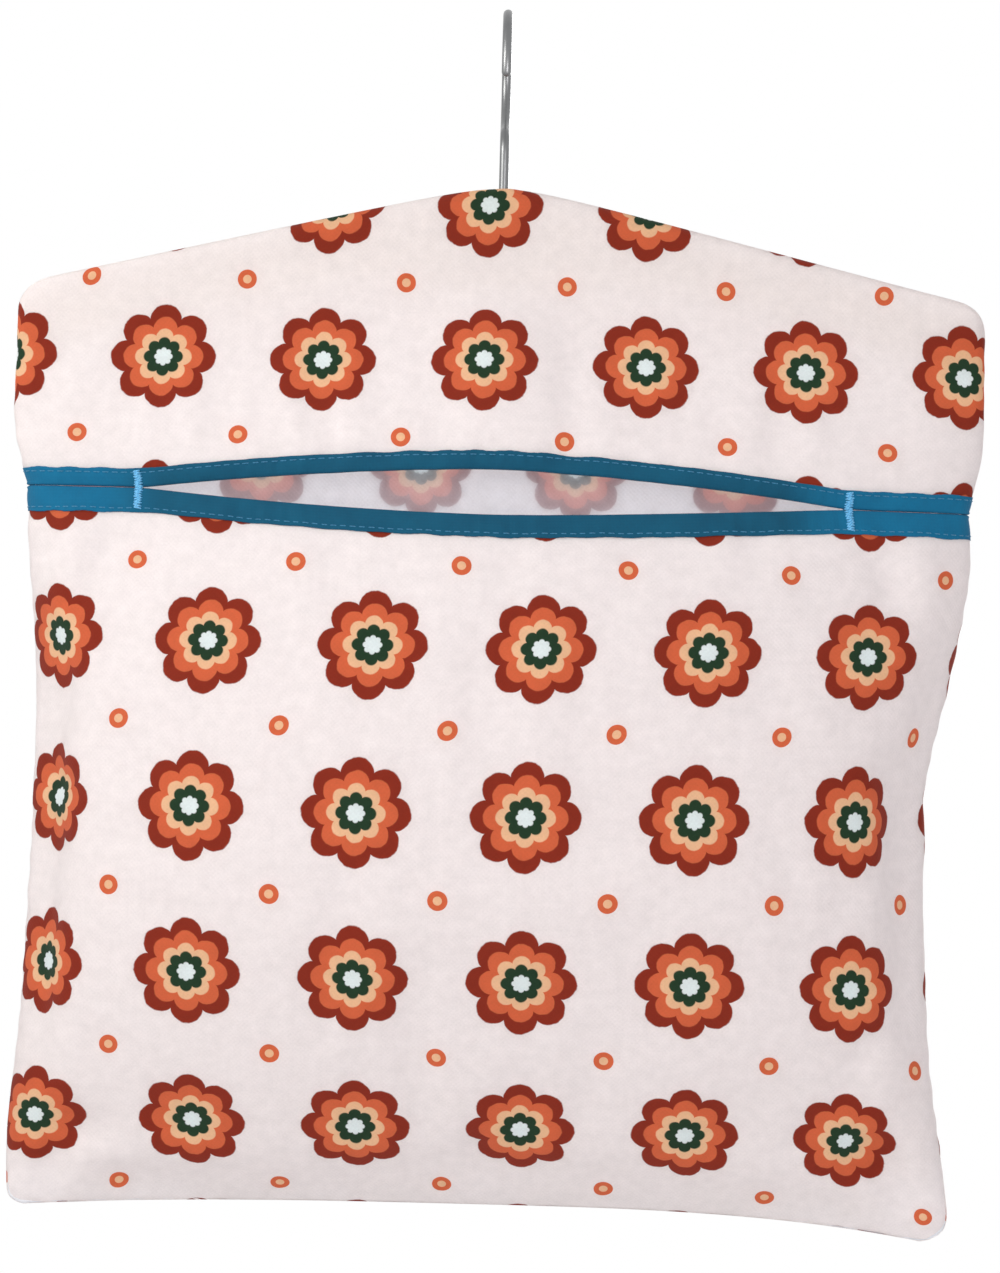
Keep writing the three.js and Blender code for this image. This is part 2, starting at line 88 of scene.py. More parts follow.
# Mouth and its bindings
MOUTH_Z = PEAK_Z - 97.0
MOUTH_HALF = 110.0
RIGHT_MOUTH_HALF = 107.5
UPPER_GAPE = 8.5
LOWER_GAPE = 5.2
LOWER_GAPE_LEAN = 0.3
GAPE_POWER = 1.6
MOUTH_TILT = 0.8
MOUTH_SIDE_HALF = 148.0
YOKE_TAPE_WIDTH = 4.8
POCKET_TAPE_WIDTH = 6.9
TAPE_INNER_SHORT = 0.3
TAPE = 0.45
TAPE_GAP = 0.12
TAPE_CROWN = 0.3
NOSE = CLOTH / 2 + TAPE_GAP + TAPE
TAPE_STITCH = 1.2
TACK_WIDTH = 2.6
TACK_HEIGHT = 12.0
TACK_DROP = 1.0
LEFT_TACK_X = -109.0
RIGHT_TACK_X = 107.9

# Seam allowances inside the bag
SEAM_WIDTH = 7.0
SEAM_LAYER = 0.45
SEAM_INSET = 1.6

# Hook, as in the CAD model
WIRE_RADIUS = 1.5
BOW_RADIUS = 18.0
BOW_Z = -16.5
NECK_RADIUS = 8.0
TIP_ANGLE = math.radians(190.0)
HEAD_RADIUS = 3.2
HEAD_HEIGHT = 2.0

# Fineness of the cloth before it is refined, and of the curves that it is measured along
COLUMNS = 80
YOKE_ROWS = 30
POCKET_ROWS = 64
CENTRE = COLUMNS // 2
FINE_DOWN = 800
FINE_ACROSS = 1200


def smooth(t):
    t = np.clip(t, 0.0, 1.0)
    return t * t * (3.0 - 2.0 * t)


def unit(v):
    return v / np.maximum(np.linalg.norm(v, axis=-1, keepdims=True), TINY)


def lengths(points):
    """Running length along a line of points."""
    return np.concatenate([[0.0], np.cumsum(np.linalg.norm(np.diff(points, axis=0), axis=1))])


def along_line(where, run, line):
    """Points of a line at running lengths along it."""
    return np.stack([np.interp(where, run, line[:, k]) for k in range(3)], axis=-1)


# Shape of the sewn bag before the cloth settles


def by_side(s, left, right):
    return np.where(s < 0.0, left, right)


def roof_z(s):
    ridge_half = SHOULDER_HALF - by_side(s, SHOULDER_RADIUS, RIGHT_SHOULDER_RADIUS)
    return PEAK_Z - SLOPE * (np.hypot(s * ridge_half, PEAK_ROUND) - PEAK_ROUND)


def hem_z(s):
    return HEM_Z - by_side(s, LEFT_CORNER_DROP, RIGHT_CORNER_DROP) * np.abs(s) ** CORNER_DROP_POWER


def half_width(z):
    to_waist = smooth((SHOULDER_Z - z) / (SHOULDER_Z - WAIST_Z))
    to_hem = smooth((WAIST_Z - z) / (WAIST_Z - HEM_Z))
    upper = SHOULDER_HALF + (WAIST_HALF - SHOULDER_HALF) * to_waist
    lower = WAIST_HALF + (HEM_HALF - WAIST_HALF) * to_hem
    return np.where(z > WAIST_Z, upper, lower)


# How the sides hang: how far the cloth stands out there, at what height, and how far up and down
LEFT_HANG = [
    (-1.5, -140.0, 40.0),
    (3.0, -265.0, 55.0),
    (2.2, -132.0, 22.0),
    (2.0, -352.0, 30.0),
    (-2.0, -149.5, 12.0),
]
RIGHT_HANG = [
    (1.5, -140.0, 40.0),
    (-3.0, -265.0, 55.0),
    (2.5, -192.0, 45.0),
    (-1.6, -229.0, 16.0),
    (-2.3, -322.0, 28.0),
    (1.5, -370.0, 12.0),
    (-2.8, -150.5, 12.0),
]


def stands_out(hang, z):
    return sum(amount * np.exp(-(((z - middle) / reach) ** 2)) for amount, middle, reach in hang)


def sway(s, z):
    """Sideways move of the cloth, taken evenly from one side to the other."""
    return stands_out(RIGHT_HANG, z) * (1.0 + s) / 2 - stands_out(LEFT_HANG, z) * (1.0 - s) / 2


def corner_inset(distance, radius):
    short = np.clip(radius - np.maximum(distance, 0.0), 0.0, radius)
    return radius - np.sqrt(radius * radius - short * short)


def bulge(side, share):
    most = FRONT_BULGE if side == FRONT else BACK_BULGE
    rise = np.sin(np.pi / 2 * np.clip(share / FULLEST, 0.0, 1.0)) ** 2
    past = np.clip((share - FULLEST) / (1.0 - FULLEST), 0.0, 1.0)
    upper = HANGER_HALF_DEPTH + (most - HANGER_HALF_DEPTH) * rise
    return np.where(share < FULLEST, upper, most * (1.0 - past * past) ** HEM_TAPER)


def section(s, power):
    return (1.0 - np.minimum(1.0, np.abs(s)) ** power) ** (1.0 / power)


def cloth_point(side, s, z):
    """Points on the outside of the cloth at shares s across and heights z."""
    top, bottom = roof_z(s), hem_z(s)
    drop = np.maximum(0.0, top - z)
    share = drop / (top - bottom)
    half = half_width(z) - corner_inset(drop, by_side(s, SHOULDER_RADIUS, RIGHT_SHOULDER_RADIUS))
    half = half - corner_inset(z - bottom, by_side(s, LEFT_HEM_RADIUS, RIGHT_HEM_RADIUS))
    turned = smooth(share / OVAL_SHARE)
    across = section(s, SLAB_POWER) * (1.0 - turned) + section(s, OVAL_POWER) * turned
    roll = (1.0 - np.maximum(0.0, 1.0 - drop / ROLL) ** ROLL_POWER) ** (1.0 / ROLL_POWER)
    return np.stack([s * half + sway(s, z), side * bulge(side, share) * across * roll, z], axis=-1)


def mouth_line(s):
    return MOUTH_Z - MOUTH_TILT * s


def gape(s):
    """Share of its full opening that the mouth has at a place across."""
    half = by_side(s, MOUTH_HALF, RIGHT_MOUTH_HALF)
    return np.maximum(0.0, 1.0 - np.abs(s * MOUTH_SIDE_HALF / half) ** GAPE_POWER)


def yoke_edge(s):
    return mouth_line(s) + NOSE + UPPER_GAPE * gape(s)


def pocket_edge(s):
    return mouth_line(s) - NOSE - LOWER_GAPE * gape(s) * (1.0 - LOWER_GAPE_LEAN * s)


def back_upper(s):
    return mouth_line(s) + NOSE


def back_lower(s):
    return mouth_line(s) - NOSE


def even_shares(curve, count):
    """Shares of the way along at which count equal lengths of a curve end; curve maps shares to points."""
    t = np.linspace(0.0, 1.0, FINE_DOWN + 1)
    run = lengths(curve(t))
    return np.interp(np.linspace(0.0, run[-1], count + 1), run, t)


def panel_rows(side, upper, lower, count):
    """Heights of a panel's rows, each as a function of the place across, even down the middle."""
    zero = np.zeros(FINE_DOWN + 1)

    def height(s, t):
        return upper(s) + (lower(s) - upper(s)) * t

    def down_middle(t):
        return cloth_point(side, zero, height(zero, t))

    return [lambda s, t=t: height(s, t) for t in even_shares(down_middle, count)]


def panel_grid(side, rows):
    """Points of a panel, with equal steps across each row, and the length of each row."""
    fine = np.sin(np.linspace(-np.pi / 2, np.pi / 2, FINE_ACROSS + 1))
    grid, widths = [], []
    for row in rows:
        run = lengths(cloth_point(side, fine, row(fine)))
        s = np.interp(np.linspace(0.0, run[-1], COLUMNS + 1), run, fine)
        grid.append(cloth_point(side, s, row(s)))
        widths.append(run[-1])
    return np.array(grid), np.array(widths)


def open_neck(grid, side):
    """The ridge seam opens in the middle for the hook, and the cloth beside it moves over."""
    line = grid[:, CENTRE]
    near = line[:, 2] > PEAK_Z - NECK_REACH
    line[near, 1] = side * (NECK_GAP + (1.0 - NECK_GAP / HANGER_HALF_DEPTH) * np.abs(line[near, 1]))


yoke_grid, yoke_widths = panel_grid(FRONT, panel_rows(FRONT, roof_z, yoke_edge, YOKE_ROWS))
pocket_grid, pocket_widths = panel_grid(FRONT, panel_rows(FRONT, pocket_edge, hem_z, POCKET_ROWS))
back_rows = panel_rows(BACK, roof_z, back_upper, YOKE_ROWS)
back_rows += panel_rows(BACK, back_lower, hem_z, POCKET_ROWS)
back_grid, back_widths = panel_grid(BACK, back_rows)

# Sewn together: the back takes the seam points of the front
front_grid = np.concatenate([yoke_grid, pocket_grid])
front_widths = np.concatenate([yoke_widths, pocket_widths])
ROWS = len(front_grid)
for j in (0, COLUMNS):
    front_grid[:, j, 1] = 0.0
front_grid[0, :, 1] = 0.0
front_grid[-1, :, 1] = 0.0
open_neck(front_grid, FRONT)
open_neck(back_grid, BACK)

front_ids = np.arange(front_grid.size // 3).reshape(ROWS, COLUMNS + 1)
back_ids = front_ids.copy()
points = list(front_grid.reshape(-1, 3))
for i in range(ROWS):
    for j in range(COLUMNS + 1):
        on_seam = i in (0, ROWS - 1) or j in (0, COLUMNS)
        if on_seam and not (i == 0 and j == CENTRE):
            continue
        back_ids[i, j] = len(points)
        points.append(back_grid[i, j])
points = np.array(points)
yoke_ids = front_ids[:YOKE_ROWS + 1]
pocket_ids = front_ids[YOKE_ROWS + 1:]


def whole(face):
    """A face's point numbers as plain whole numbers."""
    return tuple(int(k) for k in face)


def grid_faces(ids, flip):
    faces = []
    for i in range(ids.shape[0] - 1):
        for j in range(ids.shape[1] - 1):
            quad = [ids[i, j], ids[i + 1, j], ids[i + 1, j + 1], ids[i, j + 1]]
            faces.append(whole(quad[::-1] if flip else quad))
    return faces


# Flat pattern: where each point lay on the cloth before it was sewn

straightened = smooth((np.arange(ROWS) - YOKE_ROWS) / POCKET_ROWS)


def flat_pattern(grid, widths):
    middle = grid[:, CENTRE]
    across = np.linspace(-0.5, 0.5, COLUMNS + 1)[None, :] * widths[:, None]
    lag = (grid[:, :, 2] - middle[:, None, 2]) * (1.0 - straightened)[:, None]
    return np.stack([across, PEAK_Z - lengths(middle)[:, None] + lag], axis=-1)


front_flat = flat_pattern(front_grid, front_widths)
back_flat = flat_pattern(back_grid, back_widths)

# Cloth simulation: seams, lips and the hanger's arms hold the cloth, and below them it is loose

HELD_DEPTH = 14.0
HELD_FADE = 14.0
LOOSE_FROM = 20.0
LOOSE_FADE = 40.0
LIP_LOOSE = 0.15
EXTRA_CLOTH = 0.012
SETTLING_FRAMES = 20
MOST_SETTLING = 8.0

below_roof = PEAK_Z - SLOPE * np.abs(points[:, 0]) - points[:, 2]
held = 1.0 - smooth((below_roof - HELD_DEPTH) / HELD_FADE)
loose = smooth((below_roof - LOOSE_FROM) / LOOSE_FADE)
for line in (front_ids[0], back_ids[0], front_ids[-1], front_ids[:, 0], front_ids[:, -1]):
    held[line] = 1.0
for line in (yoke_ids[-1], pocket_ids[0]):
    held[line] = 1.0
    loose[line] = LIP_LOOSE


def new_mesh(name, verts, polygons):
    mesh = bpy.data.meshes.new(name)
    mesh.from_pydata([tuple(v) for v in np.asarray(verts) * MM], [], polygons)
    mesh.update()
    obj = bpy.data.objects.new(name, mesh)
    bpy.context.scene.collection.objects.link(obj)
    return obj


def add_group(obj, name, weights):
    group = obj.vertex_groups.new(name=name)
    for index, weight in enumerate(weights):
        group.add([index], float(weight), "REPLACE")


def simulate():
    """Lets the sewn cloth, cut a little too large, settle over the filling, and returns its points."""
    faces = grid_faces(yoke_ids, False) + grid_faces(pocket_ids, False) + grid_faces(back_ids, True)
    obj = new_mesh("cloth_sim", points, faces)
    add_group(obj, "held", held)
    add_group(obj, "cut_to_size", 1.0 - loose)
    modifier = obj.modifiers.new("cloth", "CLOTH")
    settings = modifier.settings
    settings.quality = 6
    settings.mass = 0.02
    settings.tension_stiffness = 20.0
    settings.compression_stiffness = 20.0
    settings.shear_stiffness = 8.0
    settings.bending_model = "LINEAR"
    settings.bending_stiffness = 0.6
    settings.air_damping = 2.0
    settings.vertex_group_mass = "held"
    settings.vertex_group_shrink = "cut_to_size"
    settings.shrink_min = -EXTRA_CLOTH
    settings.shrink_max = 0.0
    settings.use_pressure = True
    settings.uniform_pressure_force = 0.22
    settings.effector_weights.gravity = 0.01
    modifier.collision_settings.use_collision = False
    modifier.collision_settings.use_self_collision = False
    scene = bpy.context.scene
    for number in range(1, SETTLING_FRAMES + 1):
        scene.frame_set(number)
    evaluated = obj.evaluated_get(bpy.context.evaluated_depsgraph_get())
    settled = np.zeros(len(points) * 3, dtype=np.float32)
    evaluated.data.vertices.foreach_get("co", settled)
    settled = settled.reshape(-1, 3).astype(float) / MM
    scene.frame_set(1)
    bpy.data.objects.remove(obj, do_unlink=True)
    move = settled - points
    far = np.linalg.norm(move, axis=1)
    capped = MOST_SETTLING * np.tanh(far / MOST_SETTLING)
    return points + move * (capped / np.maximum(far, TINY))[:, None]


cloth_points = simulate()

# Finished panels

REFINED_WEIGHT = 6.0
SEAM_DIP = 0.7
SEAM_DIP_REACH = 1.6
PUCKER = 0.45
PUCKER_REACH = 7.0
PUCKER_CLEAR = 1.5
FOLD_SPREAD = 1.4

# Ripple: radians per millimetre of its waves, of their drift and of the lulls between them
RIPPLE_TURN = 0.62
RIPPLE_DRIFT = 1.3
RIPPLE_DRIFT_TURN = 0.11
RIPPLE_LULL = 0.4
RIPPLE_LULL_TURN = 0.047
RIPPLE_LULL_START = 1.0

# Where on the ripple each seam starts, so that no two seams pucker alike
SIDE_STAGGER = 40.0
SIDE_FACE_STAGGER = 15.0
HEM_FACE_STAGGER = 25.0

# Folds pressed into the filled bag: where each starts and ends across and up, its depth and its width
FOLDS = [
    ((120.0, -264.0), (140.0, -228.0), 1.5, 6.0),
    ((104.0, -326.0), (136.0, -296.0), 1.5, 6.0),
    ((110.0, -340.0), (146.0, -372.0), 2.2, 7.0),
    ((-142.0, -232.0), (-120.0, -246.0), 1.5, 5.0),
    ((-116.0, -338.0), (-142.0, -370.0), 1.8, 7.0),
    ((-113.0, -158.0), (-132.0, -196.0), 1.2, 6.0),
    ((113.0, -158.0), (130.0, -190.0), 1.2, 6.0),
]


def refined(grid):
    """Twice as many steps each way, on the smooth surface the points control; edges keep their line."""
    for axis in (0, 1):
        g = np.moveaxis(grid, axis, 0)
        finer = np.empty((2 * len(g) - 1,) + g.shape[1:])
        finer[0::2] = g
        finer[2:-2:2] = (g[:-2] + REFINED_WEIGHT * g[1:-1] + g[2:]) / (REFINED_WEIGHT + 2.0)
        finer[1::2] = (g[:-1] + g[1:]) / 2.0
        grid = np.moveaxis(finer, 0, axis)
    return grid


def outward_normals(grid, side):
    down, right = np.gradient(grid, axis=0), np.gradient(grid, axis=1)
    return unit(np.cross(down, right) * -side)


def ripple(t):
    """An uneven ripple between -1 and 1, about 10 mm long."""
    waves = np.sin(t * RIPPLE_TURN + RIPPLE_DRIFT * np.sin(t * RIPPLE_DRIFT_TURN))
    return waves * (1.0 - RIPPLE_LULL + RIPPLE_LULL * np.sin(t * RIPPLE_LULL_TURN + RIPPLE_LULL_START))


class Panel:
    """A cut of cloth on one grid: points, outward normals and places on the shifted flat pattern."""

    def __init__(self, ids, flat, side, hemmed, shift):
        self.side = side
        self.grid = refined(cloth_points[ids])
        self.flat = refined(flat) + np.array(shift)
        if hemmed:
            self.press_folds()
        self.draw_in_seams(hemmed)
        self.normals = outward_normals(self.grid, side)

    def press_folds(self):
        """Each fold is a soft valley between two low ridges, deepest in the middle of its length."""
        normals = outward_normals(self.grid, self.side)
        across_up = self.grid[:, :, [0, 2]]
        for start, end, depth, width in FOLDS:
            start, way = np.array(start), np.array(end) - np.array(start)
            along = (across_up - start) @ way / (way @ way)
            away = np.linalg.norm(across_up - start - along[..., None] * way, axis=2) / width
            deep = depth * np.sin(np.pi * np.clip(along, 0.0, 1.0)) ** 2
            pushed = deep * (1.0 - away ** 2) * np.exp(-(away ** 2) / FOLD_SPREAD)
            self.grid -= normals * pushed[..., None]

    def draw_in_seams(self, hemmed):
        """The stitches draw the seams in, and the cloth puckers along them."""
        grid = self.grid
        from_left = np.linalg.norm(grid - grid[:, :1], axis=2)
        from_right = np.linalg.norm(grid - grid[:, -1:], axis=2)
        normals = outward_normals(grid, self.side)
        for sign, away in ((1.0, from_left), (-1.0, from_right)):
            along = grid[:, :, 2] + SIDE_STAGGER * sign + SIDE_FACE_STAGGER * self.side
            self.draw_in(away, along, normals, 0, sign)
        if hemmed:
            away = np.linalg.norm(grid - grid[-1:], axis=2)
            along = grid[:, :, 0] + HEM_FACE_STAGGER * self.side
            self.draw_in(away, along, normals, 2, 1.0)

    def draw_in(self, away, along, normals, axis, sign):
        """Puckers the cloth at a distance away from one seam and moves the seam inwards along an axis."""
        reach = np.exp(-away / PUCKER_REACH) * away / (away + PUCKER_CLEAR)
        self.grid += normals * (PUCKER * reach * ripple(along))[..., None]
        self.grid[:, :, axis] += sign * SEAM_DIP * np.exp(-(away / SEAM_DIP_REACH) ** 2)


def set_uv(obj, per_vertex):
    """The map of the pattern in metres, from a place for each vertex."""
    layer = obj.data.uv_layers.new(name="pattern")
    corners = np.zeros(len(obj.data.loops), dtype=np.int32)
    obj.data.loops.foreach_get("vertex_index", corners)
    layer.data.foreach_set("uv", (per_vertex[corners] * MM).astype(np.float32).ravel())


def finish_piece(obj, body, slot, materials, *nodes):
    obj.data.polygons.foreach_set("use_smooth", np.ones(len(obj.data.polygons), dtype=bool))
    for material in materials:
        obj.data.materials.append(material)
    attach(obj, body)
    if nodes:
        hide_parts(*nodes)
    return obj


# Materials

# Sockets of a Mix node that mixes colours
MIX_FACTOR, MIX_FIRST, MIX_SECOND, MIX_RESULT = 0, 6, 7, 2


def colour(code):
    """Linear colour with alpha from a hexadecimal code, by the formula of the sRGB standard."""
    parts = [int(code[k:k + 2], 16) / 255.0 for k in (1, 3, 5)]
    return tuple(c / 12.92 if c <= 0.04045 else ((c + 0.055) / 1.055) ** 2.4 for c in parts) + (1.0,)


def set_inputs(tree, made, inputs):
    """Links each input that is given a socket, and sets the others."""
    for name, value in inputs.items():
        if isinstance(value, bpy.types.NodeSocket):
            tree.links.new(value, made.inputs[name])
        else:
            made.inputs[name].default_value = value


def node(tree, kind, inputs=None, **settings):
    made = tree.nodes.new("ShaderNode" + kind)
    for name, value in settings.items():
        setattr(made, name, value)
    set_inputs(tree, made, inputs or {})
    return made


def maths(tree, operation, *values):
    return node(tree, "Math", dict(enumerate(values)), operation=operation).outputs[0]


def scaled(tree, value, times, plus):
    return maths(tree, "MULTIPLY_ADD", value, times, plus)


def about_one(tree, value, spread):
    """A value between 0 and 1 as a factor about 1."""
    return scaled(tree, value, spread, 1.0 - spread / 2)


def from_zero(tree, value):
    """A value between -1 and 1, brought to between 0 and 1."""
    return scaled(tree, value, 0.5, 0.5)


def mixed(tree, factor, first, second, blend="MIX"):
    inputs = {MIX_FACTOR: factor, MIX_FIRST: first, MIX_SECOND: second}
    return node(tree, "Mix", inputs, data_type="RGBA", blend_type=blend).outputs[MIX_RESULT]


def shaded(tree, tint, level):
    """A colour times a level of grey."""
    grey = node(tree, "CombineColor", {0: level, 1: level, 2: level}).outputs[0]
    return mixed(tree, 1.0, tint, grey, "MULTIPLY")


def noise(tree, where, scale, detail=2.0, roughness=0.5):
    inputs = {"Vector": where, "Scale": scale, "Detail": detail, "Roughness": roughness}
    return node(tree, "TexNoise", inputs).outputs["Fac"]


def stretched(tree, where, scale):
    return node(tree, "Mapping", {"Vector": where, "Scale": scale}).outputs[0]


def bump(tree, height, strength, distance):
    inputs = {"Height": height, "Strength": strength, "Distance": distance * MM}
    return node(tree, "Bump", inputs).outputs["Normal"]


def new_material(name):
    material = bpy.data.materials.new(name)
    material.use_nodes = True
    tree = material.node_tree
    return material, tree, tree.nodes["Principled BSDF"]


INK_EDGE = 0.008


def banded(tree, value, bands):
    """Colour by value: each band is where it ends and its colour, with a soft ink edge between."""
    ramp = node(tree, "ValToRGB", {"Fac": value})
    stops = ramp.color_ramp.elements
    start = 0.0
    places = []
    for end, tint in bands:
        places += [(start + INK_EDGE, tint), (end - INK_EDGE, tint)]
        start = end
    stops[0].position, stops[0].color = places[0]
    stops[1].position, stops[1].color = places[-1]
    for place, tint in places[1:-1]:
        stops.new(place).color = tint
    return ramp.outputs["Color"]


GROUND = colour("#f8f1ef")
WHITE = colour("#eef7f6")
GREEN = colour("#24402a")
CREAM = colour("#f5cba2")
ORANGE = colour("#df7048")
RUST = colour("#95321e")
FLOWER_PITCH = 50.0 * MM
FLOWER_RADIUS = 16.5 * MM
PETALS = 8
PETAL_DEPTH = 0.22
PETAL_POWER = 0.7
DOT_RADIUS = 3.0 * MM
DOT_CUT = 0.9
INK_WOBBLE = 0.05

# Bands of a flower and of a dot: where each ends, as a share of this many times the radius
BAND_REACH = 1.25
FLOWER_BANDS = [(0.14, WHITE), (0.30, GREEN), (0.43, CREAM), (0.61, ORANGE), (0.80, RUST), (1.0, GROUND)]
DOT_BANDS = [(0.36, CREAM), (0.8, ORANGE), (1.0, GROUND)]


def cell(tree, u, v, shift):
    """Place within the repeat of the print, measured from its middle."""
    half = FLOWER_PITCH / 2
    wrapped = [maths(tree, "WRAP", maths(tree, "ADD", w, shift), half, -half) for w in (u, v)]
    return node(tree, "CombineXYZ", {"X": wrapped[0], "Y": wrapped[1]}).outputs[0], wrapped


def flower_print(tree, where):
    """Ringed flower heads on a square lattice, with a dot between each four."""
    parts = node(tree, "SeparateXYZ", {"Vector": where}).outputs
    at_flower, (x, y) = cell(tree, parts["X"], parts["Y"], 0.0)
    at_dot, _ = cell(tree, parts["X"], parts["Y"], FLOWER_PITCH / 2)
    radius = node(tree, "VectorMath", {0: at_flower}, operation="LENGTH").outputs["Value"]
    angle = maths(tree, "ARCTAN2", y, x)
    petal = maths(tree, "ABSOLUTE", maths(tree, "COSINE", maths(tree, "MULTIPLY", angle, PETALS / 2)))
    reach = scaled(tree, maths(tree, "POWER", petal, PETAL_POWER), PETAL_DEPTH, 1.0 - PETAL_DEPTH)
    wobble = about_one(tree, noise(tree, where, scale=420.0), INK_WOBBLE)
    share = maths(tree, "DIVIDE", radius, maths(tree, "MULTIPLY", reach, FLOWER_RADIUS * BAND_REACH))
    flower = banded(tree, maths(tree, "MULTIPLY", share, wobble), FLOWER_BANDS)
    dot = node(tree, "VectorMath", {0: at_dot}, operation="LENGTH").outputs["Value"]
    dot_share = maths(tree, "MULTIPLY", maths(tree, "DIVIDE", dot, DOT_RADIUS * BAND_REACH), wobble)
    inside_dot = maths(tree, "LESS_THAN", dot_share, DOT_CUT)
    return mixed(tree, inside_dot, flower, banded(tree, dot_share, DOT_BANDS))


WEAVE_PITCH = 0.75 * MM
# Painted light and shade: the colour is this much lighter where the weave's yarns cross over than where
# they go under
WEAVE_SHADE = 0.05
WEAVE_RELIEF = 0.12
SLUB_ALONG = 60.0
SLUB_ACROSS = 1100.0


def weave_height(tree, where, turned):
    """Plain weave: yarns over and under each other, uneven in thickness."""
    spun = node(tree, "VectorRotate", {"Vector": where, "Angle": turned}, rotation_type="Z_AXIS").outputs[0]
    parts = node(tree, "SeparateXYZ", {"Vector": spun}).outputs
    turns = math.pi / WEAVE_PITCH
    yarns = [maths(tree, "SINE", maths(tree, "MULTIPLY", parts[axis], turns)) for axis in ("X", "Y")]
    over = from_zero(tree, maths(tree, "MULTIPLY", *yarns))
    scales = (SLUB_ALONG, SLUB_ACROSS, 1.0), (SLUB_ACROSS, SLUB_ALONG, 1.0)
    slubs = [noise(tree, stretched(tree, spun, scale), scale=1.0) for scale in scales]
    return over, maths(tree, "MULTIPLY", maths(tree, "ADD", *slubs), 0.5)


def cloth_surface(tree, shader, tint, where, turned, uneven, strength, sheen):
    """Gives a shader a cloth's colour, weave, slubs and soft sheen; the weave is turned by an angle."""
    over, slubs = weave_height(tree, where, turned)
    # The level is the slubs' random tone times the weave's painted light and shade
    level = maths(tree, "MULTIPLY", about_one(tree, slubs, uneven), about_one(tree, over, WEAVE_SHADE))
    look = {
        "Base Color": shaded(tree, tint, level),
        "Normal": bump(tree, maths(tree, "ADD", over, slubs), strength, WEAVE_RELIEF),
        "Roughness": scaled(tree, slubs, times=0.12, plus=0.82),
        "Sheen Weight": sheen,
        "Sheen Roughness": 0.5,
        "Specular IOR Level": 0.25,
    }
    set_inputs(tree, shader, look)


def pattern_place(tree):
    return node(tree, "UVMap", uv_map="pattern").outputs[0]


WRONG_SIDE = colour("#f1f8ff")
INK_UNEVEN = 0.14
LIT_THROUGH = 0.42


def printed_cotton(name, fade):
    """Printed cotton; fade is how much of the print the wrong side loses."""
    material, tree, shader = new_material(name)
    where = pattern_place(tree)
    tint = flower_print(tree, where)
    if fade:
        tint = mixed(tree, fade, tint, WRONG_SIDE)
    patches = noise(tree, where, scale=260.0, detail=3.0)
    ink = maths(tree, "ADD", patches, noise(tree, where, scale=1700.0))
    tint = shaded(tree, tint, scaled(tree, ink, INK_UNEVEN, 1.0 - INK_UNEVEN))
    cloth_surface(tree, shader, tint, where, turned=0.0, uneven=0.10, strength=0.35, sheen=0.12)
    lit_through = node(tree, "BsdfTranslucent", {"Color": tint})
    cotton = node(tree, "MixShader", {0: LIT_THROUGH, 1: shader.outputs[0], 2: lit_through.outputs[0]})
    tree.links.new(cotton.outputs[0], tree.nodes["Material Output"].inputs["Surface"])
    return material


# Tape: each tint goes from dark to worn; along the open mouth the tint is darker, which is painted shade,
# and near the tacks it changes to the unshaded tint
TAPE_MIDDLE = 147.0 * MM
# The two tints along the open mouth are darker: painted shade
MOUTH_SHADE_TINT = colour("#04445f"), colour("#0b5773")
SEWN_TINT = colour("#04587c"), colour("#0b6e95")
TAPE_BIAS = math.radians(45.0)


def tape_cotton():
    """Blue tape, darker along the open mouth than past the tacks, with painted shade over the mouth."""
    material, tree, shader = new_material("binding_tape")
    where = pattern_place(tree)
    worn = noise(tree, where, scale=90.0, detail=3.0)
    along = node(tree, "SeparateXYZ", {"Vector": where}).outputs["X"]
    off_middle = maths(tree, "ABSOLUTE", maths(tree, "SUBTRACT", along, TAPE_MIDDLE))
    change = {"Value": off_middle, "From Min": 95.0 * MM, "From Max": 115.0 * MM}
    # past_tack takes the painted shade of the open mouth away towards the tacks
    past_tack = node(tree, "MapRange", change).outputs[0]
    tint = mixed(tree, past_tack, mixed(tree, worn, *MOUTH_SHADE_TINT), mixed(tree, worn, *SEWN_TINT))
    cloth_surface(tree, shader, tint, where, TAPE_BIAS, uneven=0.25, strength=0.5, sheen=0.05)
    return material


TWIST_PITCH = 0.9 * MM
PLIES = 2


def thread(name, dark, light):
    """Two-ply thread: the map runs along and around it, so slanted bands are its twist, with painted shade
    in the grooves between the plies and painted light on their crests.
    """
    material, tree, shader = new_material(name)
    parts = node(tree, "SeparateXYZ", {"Vector": pattern_place(tree)}).outputs
    along = maths(tree, "MULTIPLY", parts["X"], 2 * math.pi / TWIST_PITCH)
    around = maths(tree, "MULTIPLY", parts["Y"], 2 * math.pi * PLIES / MM)
    twist = from_zero(tree, maths(tree, "SINE", maths(tree, "ADD", along, around)))
    # The dark colour is painted shade in the grooves of the twist, the light one painted light on its
    # crests
    look = {
        "Base Color": mixed(tree, twist, colour(dark), colour(light)),
        "Normal": bump(tree, twist, strength=0.6, distance=0.08),
        "Roughness": 0.55,
        "Sheen Weight": 0.2,
    }
    set_inputs(tree, shader, look)
    return material


GRAIN = (6.0, 160.0, 160.0)
FLECKS = (160.0, 1400.0, 1400.0)
FLECK_LIMIT = 1.5
FLECK_SOFT = 0.2


def beech():
    """Pale beech: long grain with short dark flecks."""
    material, tree, shader = new_material("beech")
    where = node(tree, "TexCoord").outputs["Object"]
    bands = noise(tree, stretched(tree, where, GRAIN), scale=1.0, detail=4.0, roughness=0.6)
    flecks = noise(tree, stretched(tree, where, FLECKS), scale=1.0)
    level = maths(tree, "SMOOTH_MIN", maths(tree, "SUBTRACT", FLECK_LIMIT, flecks), 1.0, FLECK_SOFT)
    look = {
        "Base Color": shaded(tree, mixed(tree, bands, colour("#c79d6b"), colour("#e3c79c")), level),
        "Normal": bump(tree, bands, strength=0.25, distance=0.2),
        "Roughness": scaled(tree, bands, times=0.2, plus=0.42),
    }
    set_inputs(tree, shader, look)
    return material


